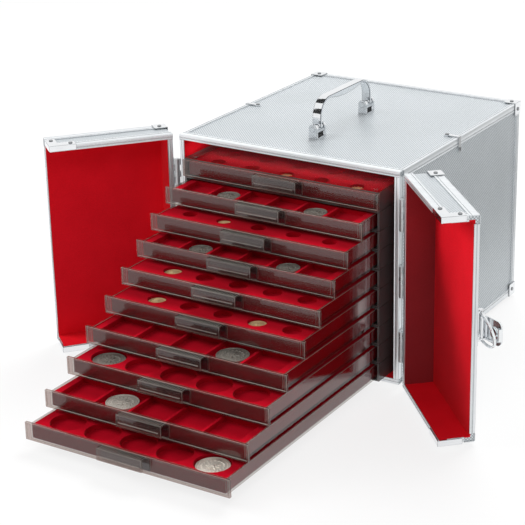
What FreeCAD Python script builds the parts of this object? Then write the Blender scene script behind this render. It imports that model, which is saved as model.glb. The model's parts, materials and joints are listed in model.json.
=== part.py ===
import FreeCAD, Part

import math
import os
from types import SimpleNamespace

import Sketcher

# Coin case: an aluminium-edged carrying case with two door leaves and ten sliding coin drawers.
# Millimetres. +Z is up, the open front looks along -Y, and the origin lies on the table under
# the middle of the case body. The doors stand open and the drawers are pulled out in steps.

doc = FreeCAD.newDocument("coin_case")
sheet = doc.addObject("Spreadsheet::Sheet", "Sizes")

DRIVING_SIZES = {
    # case body: its depth over the aluminium edges, and the room that it leaves around the boxes
    "case_depth": 290.0,
    "box_side_room": 9.5,
    "head_room": 13.7,
    "foot_height": 4.0,
    "foot_radius": 8.0,
    "foot_inset": 24.0,
    # wall build: edge rails stand proud of the boards, felt lies inside
    "rail_wall": 1.0,
    "rail_flange": 9.0,
    "rail_lip": 5.0,
    "rail_round": 1.4,
    "groove_width": 0.8,
    "groove_depth": 0.3,
    "groove_inset": 2.2,
    "board_thick": 3.8,
    "lining_thick": 1.2,
    # door leaves
    "door_depth": 38.6,
    "front_flange": 11.0,
    "rim_gap": 1.2,
    "leaf_gap": 1.2,
    "right_door_angle": 133.0,
    "left_door_angle": 130.0,
    # hinges
    "hinge_offset": 3.4,
    "hinge_radius": 2.8,
    "hinge_pin_radius": 1.2,
    "hinge_length": 34.0,
    "hinge_pitch": 72.0,
    "hinge_plate_length": 13.0,
    "hinge_plate_thick": 1.0,
    "knuckle_gap": 0.15,
    # metal fittings
    "cap_thick": 0.8,
    "cap_long": 28.0,
    "cap_short": 24.0,
    "cap_leg": 10.0,
    "cap_fold": 5.4,
    "corner_plate": 14.0,
    "rivet_radius": 2.2,
    "rivet_height": 0.8,
    "clip_width": 5.0,
    "clip_distance": 134.0,
    "clip_reach": 14.5,
    "clip_drop": 11.5,
    "clip_pad_radius": 3.4,
    # handle
    "handle_spacing": 107.0,
    "handle_centre": 118.5,
    "handle_rise": 31.0,
    "handle_bend": 20.0,
    "handle_width": 10.0,
    "handle_thick": 2.6,
    "grip_depth": 6.5,
    "grip_length": 66.0,
    "post_gap": 14.0,
    "post_thick": 2.6,
    "post_radius": 5.0,
    "pivot_height": 10.5,
    "pivot_pin_radius": 1.8,
    "pivot_pin_head": 1.2,
    "eye_wall": 1.6,
    "pin_gap": 0.05,
    "bracket_plate": 1.2,
    # box sleeves
    "box_width": 236.0,
    "box_pitch": 20.8,
    "box_air": 0.8,
    "box_reach": 13.8,
    "sleeve_wall": 2.2,
    "sleeve_skin": 1.2,
    "sleeve_back_gap": 0.3,
    "stud_radius": 2.5,
    "stud_inset": 9.0,
    # drawers
    "panel_thick": 3.0,
    "panel_margin": 0.8,
    "panel_rim": 1.6,
    "panel_field_depth": 0.7,
    "tray_inset": 4.5,
    "tray_air": 1.1,
    "tray_wall": 1.6,
    "tray_floor": 1.2,
    "slide_gap": 0.3,
    "tray_end_gap": 0.5,
    "window_width": 57.0,
    "window_margin": 2.5,
    "grip_width": 52.0,
    "grip_reach": 8.0,
    "grip_wall": 2.0,
    "grip_lift": 0.4,
    "label_groove_height": 0.9,
    "label_groove_depth": 0.6,
    "label_groove_inset": 3.0,
    "label_groove_rise": 4.6,
    # felt inserts and coins
    "insert_gap": 0.3,
    "insert_sink": 1.0,
    "recess_depth": 5.0,
    "insert_floor": 1.4,
    "insert_skirt": 1.4,
    "grid_margin": 6.6,
    "staggered_margin": 11.6,
    "divider": 3.0,
    "small_bore": 16.0,
    "middle_bore": 20.0,
    "large_bore": 36.0,
    "coin_small": 14.5,
    "coin_medium": 18.5,
    "coin_wide": 24.0,
    "coin_large": 33.0,
    "coin_thick": 2.4,
    "coin_rim": 1.2,
    "coin_field_depth": 0.25,
    # latch
    "latch_rise": 2.0,
    "latch_inset": 2.0,
    "latch_plate_width": 22.0,
    "latch_plate_height": 36.0,
    "latch_plate_thick": 1.2,
    "latch_pivot_inset": 9.0,
    "latch_pivot_height": 4.4,
    "latch_barrel_radius": 2.2,
    "latch_pin_radius": 0.9,
    "latch_ear_thick": 2.0,
    "lever_length": 31.0,
    "lever_height": 24.6,
    "lever_thick": 2.0,
    "lever_corner": 6.0,
    "lever_tab": 2.0,
    "lever_lug": 2.0,
    "lever_angle": 158.0,
    "lock_radius": 5.0,
    "lock_height": 1.8,
    "bail_pivot_reach": 6.0,
    "bail_pivot_rise": 3.4,
    "bail_length": 38.0,
    "bail_depth": 3.0,
    "bail_thick": 1.6,
    "bail_hook": 6.0,
    "bail_angle": 172.0,
    "keeper_inset": 6.0,
    "keeper_width": 18.0,
    "keeper_height": 34.0,
    "keeper_lip_height": 19.0,
    "keeper_lip_rise": 4.8,
    "keeper_lip_thick": 1.6,
    "hook_gap": 0.4,
}

# How far each drawer is pulled out of its sleeve, from the top box to the bottom one.
DRAWER_PULLS = [0.0, 33.0, 61.0, 87.0, 115.0, 144.0, 177.0, 209.0, 245.0, 277.0]
for index, pull in enumerate(DRAWER_PULLS, start=1):
    DRIVING_SIZES["pull_%02d" % index] = pull


class Size:
    """A length or angle: its present value and the sheet formula that gives it."""

    def __init__(self, value, formula=None):
        self.value = float(value)
        self.formula = formula or repr(float(value))

    def combine(self, other, sign, value):
        return Size(value, "(%s %s %s)" % (self.formula, sign, as_size(other).formula))

    def __add__(self, other):
        return self.combine(other, "+", self.value + as_size(other).value)

    def __radd__(self, other):
        return as_size(other) + self

    def __sub__(self, other):
        return self.combine(other, "-", self.value - as_size(other).value)

    def __rsub__(self, other):
        return as_size(other) - self

    def __mul__(self, other):
        return self.combine(other, "*", self.value * as_size(other).value)

    def __rmul__(self, other):
        return self * other

    def __truediv__(self, other):
        return self.combine(other, "/", self.value / as_size(other).value)

    def __neg__(self):
        return self * -1.0


def as_size(thing):
    return thing if isinstance(thing, Size) else Size(thing)


def cosine(angle):
    return Size(math.cos(math.radians(angle.value)), "cos(%s * 1 deg)" % angle.formula)


def sine(angle):
    return Size(math.sin(math.radians(angle.value)), "sin(%s * 1 deg)" % angle.formula)


for row, (alias, number) in enumerate(DRIVING_SIZES.items(), start=1):
    sheet.set("A%d" % row, alias)
    sheet.set("B%d" % row, repr(number))
    sheet.setAlias("B%d" % row, alias)
doc.recompute()

size = SimpleNamespace(**{alias: Size(number, "Sizes." + alias)
                          for alias, number in DRIVING_SIZES.items()})

# The case is built round its stack of boxes, so its width and height follow from theirs.
WALL = size.rail_wall + size.board_thick + size.lining_thick
BOX_HEIGHT = size.box_pitch - size.box_air
CASE_HEIGHT = 2 * WALL + size.slide_gap + size.box_pitch * len(DRAWER_PULLS) + size.head_room

# Main planes of the case body.
SIDE = size.box_width / 2 + size.box_side_room + WALL
FRONT = -size.case_depth / 2
BACK = size.case_depth / 2
BASE = size.foot_height
TOP = BASE + CASE_HEIGHT
BOARD_TOP = TOP - size.rail_wall
MIDDLE = BASE + CASE_HEIGHT / 2

nodes = []


# Building blocks

def bind(thing, prop, amount):
    thing.setExpression(prop, as_size(amount).formula)


def place(thing, x=0.0, y=0.0, z=0.0):
    bind(thing, "Placement.Base.x", x)
    bind(thing, "Placement.Base.y", y)
    bind(thing, "Placement.Base.z", z)
    return thing


def block(name, x, y, z):
    """A box between two faces on each axis."""
    box = doc.addObject("Part::Box", name)
    bind(box, "Length", x[1] - x[0])
    bind(box, "Width", y[1] - y[0])
    bind(box, "Height", z[1] - z[0])
    return place(box, x[0], y[0], z[0])


AXIS_TURNS = {
    "x": FreeCAD.Rotation(FreeCAD.Vector(0, 1, 0), 90),
    "y": FreeCAD.Rotation(FreeCAD.Vector(1, 0, 0), -90),
    "z": FreeCAD.Rotation(),
}


def rod(name, start, axis, radius, length):
    """A cylinder that starts at a point and runs along +X, +Y or +Z."""
    cylinder = doc.addObject("Part::Cylinder", name)
    cylinder.Placement = FreeCAD.Placement(FreeCAD.Vector(), AXIS_TURNS[axis])
    bind(cylinder, "Radius", radius)
    bind(cylinder, "Height", length)
    return place(cylinder, *start)


def cut(name, base, tool):
    result = doc.addObject("Part::Cut", name)
    result.Base = base
    result.Tool = tool
    return result


def join(name, pieces):
    result = doc.addObject("Part::MultiFuse", name)
    result.Shapes = pieces
    return result


def group(name, pieces):
    result = doc.addObject("Part::Compound", name)
    result.Links = pieces
    return result


def node(name, thing):
    """Register a finished sub-part under its own name."""
    thing.Label = name
    nodes.append(thing)
    return thing


def pose_in_plan(thing, pivot, angle, goal):
    """Turn a piece about a vertical axis and carry that axis from pivot to goal."""
    thing.Placement = FreeCAD.Placement(FreeCAD.Vector(), FreeCAD.Rotation(FreeCAD.Vector(0, 0, 1), 1))
    bind(thing, "Placement.Rotation.Angle", angle)
    x, y = pivot
    bind(thing, "Placement.Base.x", goal[0] - x * cosine(angle) + y * sine(angle))
    bind(thing, "Placement.Base.y", goal[1] - x * sine(angle) - y * cosine(angle))


def turned_point(point, centre, angle):
    """A point of the plan turned about another one."""
    dx = point[0] - centre[0]
    dy = point[1] - centre[1]
    return (centre[0] + dx * cosine(angle) - dy * sine(angle),
            centre[1] + dx * sine(angle) + dy * cosine(angle))


def below(face, side, near, far):
    """The range that lies between two depths under a face that looks along side."""
    if side > 0:
        return face - far, face - near
    return face + near, face + far


def mirrored(span, side):
    """A range on the right half of the case, or its mirror on the left half."""
    if side > 0:
        return span
    return -span[1], -span[0]


def whole(span):
    return as_size(span[0]), as_size(span[1])


def round_edge(name, thing, along, at, radius):
    """Round the long edge of a piece that runs along an axis through the given place."""
    thing.recompute(True)
    across = [axis for axis in "xyz" if axis != along]
    picks = []
    for index, edge in enumerate(thing.Shape.Edges, start=1):
        ends = [vertex.Point for vertex in edge.Vertexes]
        if len(ends) == 2 and all(abs(getattr(end, axis) - at[axis].value) < 0.01
                                  for end in ends for axis in across):
            picks.append((index, radius.value, radius.value))
    rounded = doc.addObject("Part::Fillet", name)
    rounded.Base = thing
    rounded.Edges = picks
    return rounded


def angle_rail(name, along, span, first, second, hand=1):
    """An L-shaped edge rail: two flanges that lie under two faces and meet at their edge.

    first and second are (axis, face, side, flange width). The rail runs over span on the
    axis along. hand mirrors it to the left half of the case. Each flange has a fine groove
    near its inner border, and the outer edge is rounded.
    """
    outer = {along: whole(span)}
    inner = {along: whole(span)}
    grooves = [{along: whole(span)}, {along: whole(span)}]
    corner = {}
    for index, (axis, face, side, width) in enumerate((first, second)):
        outer[axis] = below(face, side, as_size(0), width)
        inner[axis] = below(face, side, size.rail_wall, width)
        far = width - size.groove_inset
        grooves[index][axis] = below(face, side, far - size.groove_width, far)
        grooves[1 - index][axis] = below(face, side, as_size(0), size.groove_depth)
        corner[axis] = face
    for space in (outer, inner, *grooves):
        space["x"] = mirrored(space["x"], hand)
    if "x" in corner:
        corner["x"] = hand * corner["x"]
    body = block(name + "_bar", outer["x"], outer["y"], outer["z"])
    voids = [block(name + "_hollow", inner["x"], inner["y"], inner["z"])]
    for index, space in enumerate(grooves):
        voids.append(block("%s_groove_%d" % (name, index), space["x"], space["y"], space["z"]))
    angle = cut(name + "_angle", body, group(name + "_voids", voids))
    return round_edge(name, angle, along, corner, size.rail_round)


def rivet(name, centre, axis, direction):
    """A round rivet head that stands on a face and points along +axis or -axis."""
    start = dict(zip("xyz", (as_size(part) for part in centre)))
    if direction < 0:
        start[axis] = start[axis] - size.rivet_height
    return rod(name, (start["x"], start["y"], start["z"]), axis, size.rivet_radius, size.rivet_height)


# Case body: boards, felt, rails and front frame

def build_case_boards():
    half = SIDE - size.rail_wall
    front = FRONT + size.rail_wall
    back = BACK - size.rail_wall
    thick = size.board_thick
    low = BASE + size.rail_wall
    high = TOP - size.rail_wall
    node("board_bottom", block("board_bottom", (-half, half), (front, back), (low, low + thick)))
    node("board_top", block("board_top", (-half, half), (front, back), (high - thick, high)))
    upright = (low + thick, high - thick)
    node("board_left", block("board_left", (-half, thick - half), (front, back), upright))
    node("board_right", block("board_right", (half - thick, half), (front, back), upright))
    between = (thick - half, half - thick)
    node("board_back", block("board_back", between, (back - thick, back), upright))


def build_case_lining():
    outside = SIDE - size.rail_wall - size.board_thick
    inside = SIDE - WALL
    front = FRONT + size.rail_wall
    back = BACK - size.rail_wall - size.board_thick
    low = BASE + size.rail_wall + size.board_thick
    high = TOP - size.rail_wall - size.board_thick
    felt = size.lining_thick
    sheets = [
        block("felt_floor", (-outside, outside), (front, back), (low, low + felt)),
        block("felt_roof", (-outside, outside), (front, back), (high - felt, high)),
        block("felt_left", (-outside, -inside), (front, back), (low + felt, high - felt)),
        block("felt_right", (inside, outside), (front, back), (low + felt, high - felt)),
        block("felt_back", (-inside, inside), (back - felt, back), (low + felt, high - felt)),
    ]
    node("case_lining", group("case_lining", sheets))


def build_front_frame():
    flat = size.rail_flange
    rails = []
    for word, side in (("top", 1), ("bottom", -1)):
        face = TOP if side > 0 else BASE
        rails.append(angle_rail("frame_" + word, "x", (-SIDE, SIDE),
                                ("y", FRONT, -1, flat), ("z", face, side, WALL)))
    inner = (BASE + WALL, TOP - WALL)
    for word, hand in (("left", -1), ("right", 1)):
        rails.append(angle_rail("frame_" + word, "z", inner,
                                ("x", SIDE, 1, WALL), ("y", FRONT, -1, flat), hand))
    node("front_frame", group("front_frame", rails))


def build_case_edge_rails():
    front = FRONT + size.rail_flange
    rear = BACK - size.rail_flange
    rails = []
    for word, side in (("top", 1), ("bottom", -1)):
        face = TOP if side > 0 else BASE
        for hand_word, hand in (("left", -1), ("right", 1)):
            rails.append(angle_rail("rail_%s_%s" % (word, hand_word), "y", (front, rear),
                                    ("x", SIDE, 1, size.rail_lip),
                                    ("z", face, side, size.rail_flange), hand))
        rails.append(angle_rail("rail_%s_back" % word, "x", (-SIDE, SIDE),
                                ("y", BACK, 1, size.rail_flange),
                                ("z", face, side, size.rail_flange)))
    span = (BASE + size.rail_flange, TOP - size.rail_flange)
    for hand_word, hand in (("left", -1), ("right", 1)):
        rails.append(angle_rail("rail_back_" + hand_word, "z", span,
                                ("x", SIDE, 1, size.rail_flange),
                                ("y", BACK, 1, size.rail_flange), hand))
    node("case_edge_rails", group("case_edge_rails", rails))


def corner_shell(name, hand, y_face, y_side, z_face, z_side):
    """A pressed metal corner: three plates that wrap one corner from outside."""
    plate = size.corner_plate
    skin = size.cap_thick
    outer_x = mirrored((SIDE - plate, SIDE + skin), hand)
    inner_x = mirrored((SIDE - plate, SIDE), hand)
    outer_y = below(y_face, y_side, -skin, plate)
    inner_y = below(y_face, y_side, as_size(0), plate)
    outer_z = below(z_face, z_side, -skin, plate)
    inner_z = below(z_face, z_side, as_size(0), plate)
    return cut(name, block(name + "_outer", outer_x, outer_y, outer_z),
               block(name + "_inner", inner_x, inner_y, inner_z))


def build_rear_corner_caps():
    caps = []
    for word, side in (("top", 1), ("bottom", -1)):
        face = TOP if side > 0 else BASE
        for hand_word, hand in (("left", -1), ("right", 1)):
            caps.append(corner_shell("cap_%s_%s" % (word, hand_word), hand, BACK, 1, face, side))
    node("rear_corner_caps", group("rear_corner_caps", caps))


def clip_place():
    return FRONT + size.clip_distance


def build_edge_clips():
    """Narrow clips that hold a rail to the two boards at mid depth."""
    skin = size.cap_thick
    middle = clip_place()
    across = (middle - size.clip_width / 2, middle + size.clip_width / 2)
    clips = []
    for word, side in (("top", 1), ("bottom", -1)):
        face = TOP if side > 0 else BASE
        for hand_word, hand in (("left", -1), ("right", 1)):
            name = "clip_%s_%s" % (word, hand_word)
            flat = block(name + "_flat", mirrored((SIDE - size.clip_reach, SIDE + skin), hand),
                         across, below(face, side, -skin, as_size(0)))
            drop = block(name + "_drop", mirrored((SIDE, SIDE + skin), hand),
                         across, below(face, side, -skin, size.clip_drop))
            pad_z = below(face, side, -skin, size.rail_wall)
            flat_pad = rod(name + "_flat_pad", (hand * (SIDE - size.clip_reach), middle, pad_z[0]),
                           "z", size.clip_pad_radius, pad_z[1] - pad_z[0])
            pad_x = mirrored((SIDE - size.rail_wall, SIDE + skin), hand)
            drop_z = face - side * size.clip_drop - side * size.clip_pad_radius / 2
            drop_pad = rod(name + "_drop_pad", (pad_x[0], middle, drop_z),
                           "x", size.clip_pad_radius, pad_x[1] - pad_x[0])
            under = block(name + "_under", mirrored((SIDE - size.rail_wall, SIDE), hand),
                          (middle - size.clip_pad_radius, middle + size.clip_pad_radius),
                          below(face, side, as_size(0), size.rail_flange))
            pad = cut(name + "_drop_foot", drop_pad, under)
            clips.append(join(name, [flat, drop, flat_pad, pad]))
    node("edge_clips", group("edge_clips", clips))


def build_case_rivets():
    heads = []
    skin = size.cap_thick
    inset = size.corner_plate / 2
    middle = clip_place()
    for word, side in (("top", 1), ("bottom", -1)):
        face = TOP if side > 0 else BASE
        for hand_word, hand in (("left", -1), ("right", 1)):
            tag = "%s_%s" % (word, hand_word)
            x_mid = hand * (SIDE - inset)
            z_mid = face - side * inset
            side_face = hand * (SIDE + skin)
            heads.append(rivet("rivet_cap_flat_" + tag, (x_mid, BACK - inset, face + side * skin), "z", side))
            heads.append(rivet("rivet_cap_back_" + tag, (x_mid, BACK + skin, z_mid), "y", 1))
            heads.append(rivet("rivet_cap_side_" + tag, (side_face, BACK - inset, z_mid), "x", hand))
            heads.append(rivet("rivet_clip_flat_" + tag,
                               (hand * (SIDE - size.clip_reach), middle, face + side * skin), "z", side))
            drop_z = face - side * size.clip_drop - side * size.clip_pad_radius / 2
            heads.append(rivet("rivet_clip_side_" + tag, (side_face, middle, drop_z), "x", hand))
    node("case_rivets", group("case_rivets", heads))


def build_feet():
    feet = []
    for hand in (-1, 1):
        for end, place_y in (("front", FRONT + size.foot_inset), ("rear", BACK - size.foot_inset)):
            name = "foot_%s_%s" % (end, "left" if hand < 0 else "right")
            pad = rod(name, (hand * (SIDE - size.foot_inset), place_y, as_size(0)),
                      "z", size.foot_radius, size.foot_height + size.rail_wall)
            feet.append(pad)
    node("feet", group("feet", feet))


# Carrying handle

def handle_leg_places():
    centre = FRONT + size.handle_centre
    return centre - size.handle_spacing / 2, centre + size.handle_spacing / 2


PIVOT_Z = BOARD_TOP + size.pivot_height


def build_handle_brackets():
    """Each leg stands in a fork: a foot plate, two round-topped posts and a headed pin."""
    pieces = []
    half_width = size.post_radius
    floor = BOARD_TOP
    for word, leg_y in zip(("front", "rear"), handle_leg_places()):
        name = "fork_" + word
        inner = size.post_gap / 2
        outer = inner + size.post_thick
        parts = [block(name + "_plate", (-half_width, half_width), (leg_y - outer, leg_y + outer),
                       (floor, floor + size.bracket_plate))]
        for end, near in (("near", leg_y - outer), ("far", leg_y + inner)):
            parts.append(block(name + "_stem_" + end, (-half_width, half_width),
                               (near, near + size.post_thick), (floor, PIVOT_Z)))
            parts.append(rod(name + "_round_" + end, (as_size(0), near, PIVOT_Z), "y",
                             size.post_radius, size.post_thick))
        solid = join(name + "_solid", parts)
        hole = rod(name + "_hole", (as_size(0), leg_y - outer, PIVOT_Z), "y",
                   size.pivot_pin_radius + size.pin_gap, 2 * outer)
        pieces.append(cut(name, solid, hole))
        shank = rod(name + "_shank", (as_size(0), leg_y - outer, PIVOT_Z), "y",
                    size.pivot_pin_radius, 2 * outer)
        head = rod(name + "_head", (as_size(0), leg_y - outer - size.pivot_pin_head, PIVOT_Z), "y",
                   size.pivot_pin_radius + size.pivot_pin_head, size.pivot_pin_head)
        tail = rod(name + "_tail", (as_size(0), leg_y + outer, PIVOT_Z), "y",
                   size.pivot_pin_radius + size.pivot_pin_head, size.pivot_pin_head)
        pieces.append(join("pin_" + word, [shank, head, tail]))
    node("handle_brackets", group("handle_brackets", pieces))


def build_handle_bow():
    """A flat strap bent into a wide bow, with rolled eyes on its legs and a deeper grip."""
    front_leg, rear_leg = handle_leg_places()
    thick = size.handle_thick
    half = size.handle_width / 2
    bend = size.handle_bend
    crest = PIVOT_Z + size.handle_rise
    front = front_leg - thick / 2
    rear = rear_leg + thick / 2
    pieces = []
    for word, leg_y in (("front", front_leg), ("rear", rear_leg)):
        pieces.append(block("bow_leg_" + word, (-half, half), (leg_y - thick / 2, leg_y + thick / 2),
                            (PIVOT_Z, crest - bend)))
        eye_half = size.post_gap / 2 - size.slide_gap
        pieces.append(rod("bow_eye_" + word, (as_size(0), leg_y - eye_half, PIVOT_Z), "y",
                          size.pivot_pin_radius + size.eye_wall, 2 * eye_half))
    for word, centre_y, low_y, high_y in (
            ("front", front + bend, front, front + bend),
            ("rear", rear - bend, rear - bend, rear)):
        outer = rod("bow_bend_outer_" + word, (-half, centre_y, crest - bend), "x", bend, size.handle_width)
        inner = rod("bow_bend_inner_" + word, (-half, centre_y, crest - bend), "x", bend - thick,
                    size.handle_width)
        ring = cut("bow_ring_" + word, outer, inner)
        quarter = doc.addObject("Part::Common", "bow_bend_" + word)
        quarter.Base = ring
        quarter.Tool = block("bow_quadrant_" + word, (-half, half), (low_y, high_y), (crest - bend, crest))
        pieces.append(quarter)
    pieces.append(block("bow_top", (-half, half), (front + bend, rear - bend), (crest - thick, crest)))
    middle = (front_leg + rear_leg) / 2
    # The belly of the grip is a shallow arc whose chord is the grip length.
    sag = size.grip_depth - thick
    arc = (size.grip_length * size.grip_length / 4 + sag * sag) / (2 * sag)
    belly_round = rod("bow_belly_round", (-half, middle, crest - size.grip_depth + arc), "x", arc,
                      size.handle_width)
    belly = doc.addObject("Part::Common", "bow_belly")
    belly.Base = belly_round
    belly.Tool = block("bow_belly_space", (-half, half),
                       (middle - size.grip_length / 2, middle + size.grip_length / 2),
                       (crest - size.grip_depth, crest - thick / 2))
    pieces.append(belly)
    solid = join("bow_solid", pieces)
    holes = []
    for word, leg_y in (("front", front_leg), ("rear", rear_leg)):
        holes.append(rod("bow_hole_" + word, (as_size(0), leg_y - size.post_gap / 2, PIVOT_Z), "y",
                         size.pivot_pin_radius + size.pin_gap, size.post_gap))
    node("handle_bow", cut("handle_bow", solid, group("bow_holes", holes)))


# Hinges: three on each side, with five knuckles each

HINGE_Y = FRONT - size.rim_gap / 2
HINGE_X = SIDE + size.hinge_offset


def hinge_heights():
    return [MIDDLE - size.hinge_pitch, MIDDLE, MIDDLE + size.hinge_pitch]


KNUCKLES = 5


def hinge_half(name, hand, centre_z, for_case):
    """One leaf of a hinge: a riveted plate beside the rail and its share of the knuckles."""
    low = centre_z - size.hinge_length / 2
    step = size.hinge_length / KNUCKLES
    clear = size.hinge_radius + size.slide_gap
    if for_case:
        plate_y = (HINGE_Y + clear, HINGE_Y + clear + size.hinge_plate_length)
        reach_y = (HINGE_Y, HINGE_Y + clear)
    else:
        plate_y = (HINGE_Y - clear - size.hinge_plate_length, HINGE_Y - clear)
        reach_y = (HINGE_Y - clear, HINGE_Y)
    plate_x = mirrored((SIDE, SIDE + size.hinge_plate_thick), hand)
    pieces = [block(name + "_plate", plate_x, plate_y, (low, low + size.hinge_length))]
    for index in range(KNUCKLES):
        if (index % 2 == 0) != for_case:
            continue
        bottom = low + step * index + size.knuckle_gap / 2
        height = step - size.knuckle_gap
        pieces.append(rod("%s_knuckle_%d" % (name, index), (hand * HINGE_X, HINGE_Y, bottom), "z",
                          size.hinge_radius, height))
        web_x = mirrored((SIDE, SIDE + size.hinge_plate_thick), hand)
        web = block("%s_web_%d" % (name, index), web_x, reach_y, (bottom, bottom + height))
        pieces.append(web)
    solid = join(name + "_solid", pieces)
    bore = rod(name + "_bore", (hand * HINGE_X, HINGE_Y, low), "z",
               size.hinge_pin_radius + size.pin_gap, size.hinge_length)
    bored = cut(name + "_bored", solid, bore)
    heads = []
    plate_middle = (plate_y[0] + plate_y[1]) / 2
    for index, offset in enumerate((-1, 1)):
        heads.append(rivet("%s_rivet_%d" % (name, index),
                           (hand * (SIDE + size.hinge_plate_thick), plate_middle,
                            centre_z + offset * size.hinge_length / 4), "x", hand))
    return join(name, [bored] + heads)


def build_case_hinges():
    pieces = []
    for word, hand in (("left", -1), ("right", 1)):
        for index, centre_z in enumerate(hinge_heights()):
            name = "case_hinge_%s_%d" % (word, index)
            pieces.append(hinge_half(name, hand, centre_z, True))
            pieces.append(rod("hinge_pin_%s_%d" % (word, index),
                              (hand * HINGE_X, HINGE_Y, centre_z - size.hinge_length / 2), "z",
                              size.hinge_pin_radius, size.hinge_length))
    node("case_hinge_leaves", group("case_hinge_leaves", pieces))


# Door leaves, built closed in front of the case and then swung open about their hinges

RIM = FRONT - size.rim_gap
FACE = FRONT - size.door_depth


def swing(thing, hand):
    angle = size.right_door_angle if hand > 0 else -size.left_door_angle
    pivot = (hand * HINGE_X, HINGE_Y)
    pose_in_plan(thing, pivot, angle, pivot)


def build_door(word, hand):
    edge = size.leaf_gap
    wall = size.rail_wall
    thick = size.board_thick
    felt = size.lining_thick
    low = BASE + wall
    high = TOP - wall
    board_x = mirrored((edge + wall, SIDE - wall), hand)
    side_x = mirrored((SIDE - wall - thick, SIDE - wall), hand)
    behind = (FACE + wall + thick, RIM - wall)
    boards = [
        block(word + "_board_front", board_x, (FACE + wall, FACE + wall + thick), (low, high)),
        block(word + "_board_top", board_x, behind, (high - thick, high)),
        block(word + "_board_bottom", board_x, behind, (low, low + thick)),
        block(word + "_board_side", side_x, behind, (low + thick, high - thick)),
    ]
    swing(node(word + "_door_boards", group(word + "_door_boards", boards)), hand)

    inside = SIDE - wall - thick
    felt_x = mirrored((edge + wall, inside), hand)
    felt_y = (FACE + wall + thick + felt, RIM - wall)
    sheets = [
        block(word + "_felt_front", felt_x, (FACE + wall + thick, FACE + wall + thick + felt),
              (low + thick, high - thick)),
        block(word + "_felt_top", felt_x, felt_y, (high - thick - felt, high - thick)),
        block(word + "_felt_bottom", felt_x, felt_y, (low + thick, low + thick + felt)),
        block(word + "_felt_side", mirrored((inside - felt, inside), hand), felt_y,
              (low + thick + felt, high - thick - felt)),
    ]
    swing(node(word + "_door_lining", group(word + "_door_lining", sheets)), hand)

    flange = size.rail_flange
    rails = []
    for level, side in (("top", 1), ("bottom", -1)):
        face = TOP if side > 0 else BASE
        # rail along the rim that meets the case, and along the front edge
        rails.append(angle_rail("%s_rim_%s" % (word, level), "x", (edge, SIDE),
                                ("y", RIM, 1, flange), ("z", face, side, WALL), hand))
        rails.append(angle_rail("%s_edge_%s" % (word, level), "x", (edge, SIDE),
                                ("y", FACE, -1, size.front_flange), ("z", face, side, flange), hand))
        # short rail on the edge that meets the other leaf
        rails.append(angle_rail("%s_end_%s" % (word, level), "y",
                                (FACE + size.front_flange, RIM - flange),
                                ("x", edge, -1, flange), ("z", face, side, WALL), hand))
    rails.append(angle_rail(word + "_rim_side", "z", (BASE + WALL, TOP - WALL),
                            ("x", SIDE, 1, WALL), ("y", RIM, 1, flange), hand))
    rails.append(angle_rail(word + "_edge_side", "z", (BASE + flange, TOP - flange),
                            ("x", SIDE, 1, flange), ("y", FACE, -1, flange), hand))
    rails.append(angle_rail(word + "_free_edge", "z", (BASE + flange, TOP - flange),
                            ("x", edge, -1, flange), ("y", FACE, -1, WALL), hand))
    swing(node(word + "_door_rails", group(word + "_door_rails", rails)), hand)

    caps = []
    for level, side in (("top", 1), ("bottom", -1)):
        caps += door_corner_caps(word, hand, level, side)
    swing(node(word + "_door_caps", group(word + "_door_caps", caps)), hand)

    leaves = [hinge_half("%s_hinge_%d" % (word, index), hand, centre_z, False)
              for index, centre_z in enumerate(hinge_heights())]
    swing(node(word + "_door_hinge_leaves", group(word + "_door_hinge_leaves", leaves)), hand)


def door_corner_caps(word, hand, level, side):
    """The chromed corner pieces of one leaf at its top or bottom, each with its rivets."""
    face = TOP if side > 0 else BASE
    skin = size.cap_thick
    edge = size.leaf_gap
    on_face = below(face, side, -skin, as_size(0))
    folded = below(face, side, -skin, size.cap_fold)
    name = "%s_meeting_cap_%s" % (word, level)
    along_rim = block(name + "_rim_leg", mirrored((edge - skin, edge + size.cap_long), hand),
                      (RIM - size.cap_leg, RIM + skin), on_face)
    along_end = block(name + "_end_leg", mirrored((edge - skin, edge + size.cap_leg), hand),
                      (RIM - size.cap_short, RIM + skin), on_face)
    rim_fold = block(name + "_rim_fold", mirrored((edge - skin, edge + size.cap_long), hand),
                     (RIM, RIM + skin), folded)
    end_fold = block(name + "_end_fold", mirrored((edge - skin, edge), hand),
                     (RIM - size.cap_short, RIM + skin), folded)
    meeting = join(name, [along_rim, along_end, rim_fold, end_fold])
    top_face = face + side * skin
    middle = size.cap_leg / 2
    heads = [
        rivet(name + "_rivet_rim", (hand * (edge + size.cap_long - middle), RIM - middle, top_face),
              "z", side),
        rivet(name + "_rivet_end", (hand * (edge + middle), RIM - size.cap_short + middle, top_face),
              "z", side),
    ]
    name = "%s_outer_cap_%s" % (word, level)
    outer = corner_shell(name, hand, FACE, -1, face, side)
    inset = size.corner_plate / 2
    z_mid = face - side * inset
    heads += [
        rivet(name + "_rivet_flat", (hand * (SIDE - inset), FACE + inset, top_face), "z", side),
        rivet(name + "_rivet_front", (hand * (SIDE - inset), FACE - skin, z_mid), "y", -1),
        rivet(name + "_rivet_side", (hand * (SIDE + skin), FACE + inset, z_mid), "x", hand),
    ]
    return [meeting, outer] + heads


# Draw latch on the right leaf and its keeper on the left one, drawn shut across the gap.
# Depths here count outward from the front face of the leaves.

LATCH_Z = MIDDLE + size.latch_rise
LATCH_X = size.leaf_gap + size.latch_pivot_inset
LATCH_DEPTH = size.latch_plate_thick + size.latch_pivot_height
LATCH_Y = FACE - LATCH_DEPTH
BAIL_X = LATCH_X + size.bail_pivot_reach
BAIL_Y = LATCH_Y - size.bail_pivot_rise
LEVER_HALF = size.lever_height / 2
BAIL_INNER = LEVER_HALF + size.slide_gap
BAIL_OUTER = BAIL_INNER + size.bail_thick
EAR_INNER = BAIL_OUTER + size.slide_gap
HOOK_X = BAIL_X - size.bail_length


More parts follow.
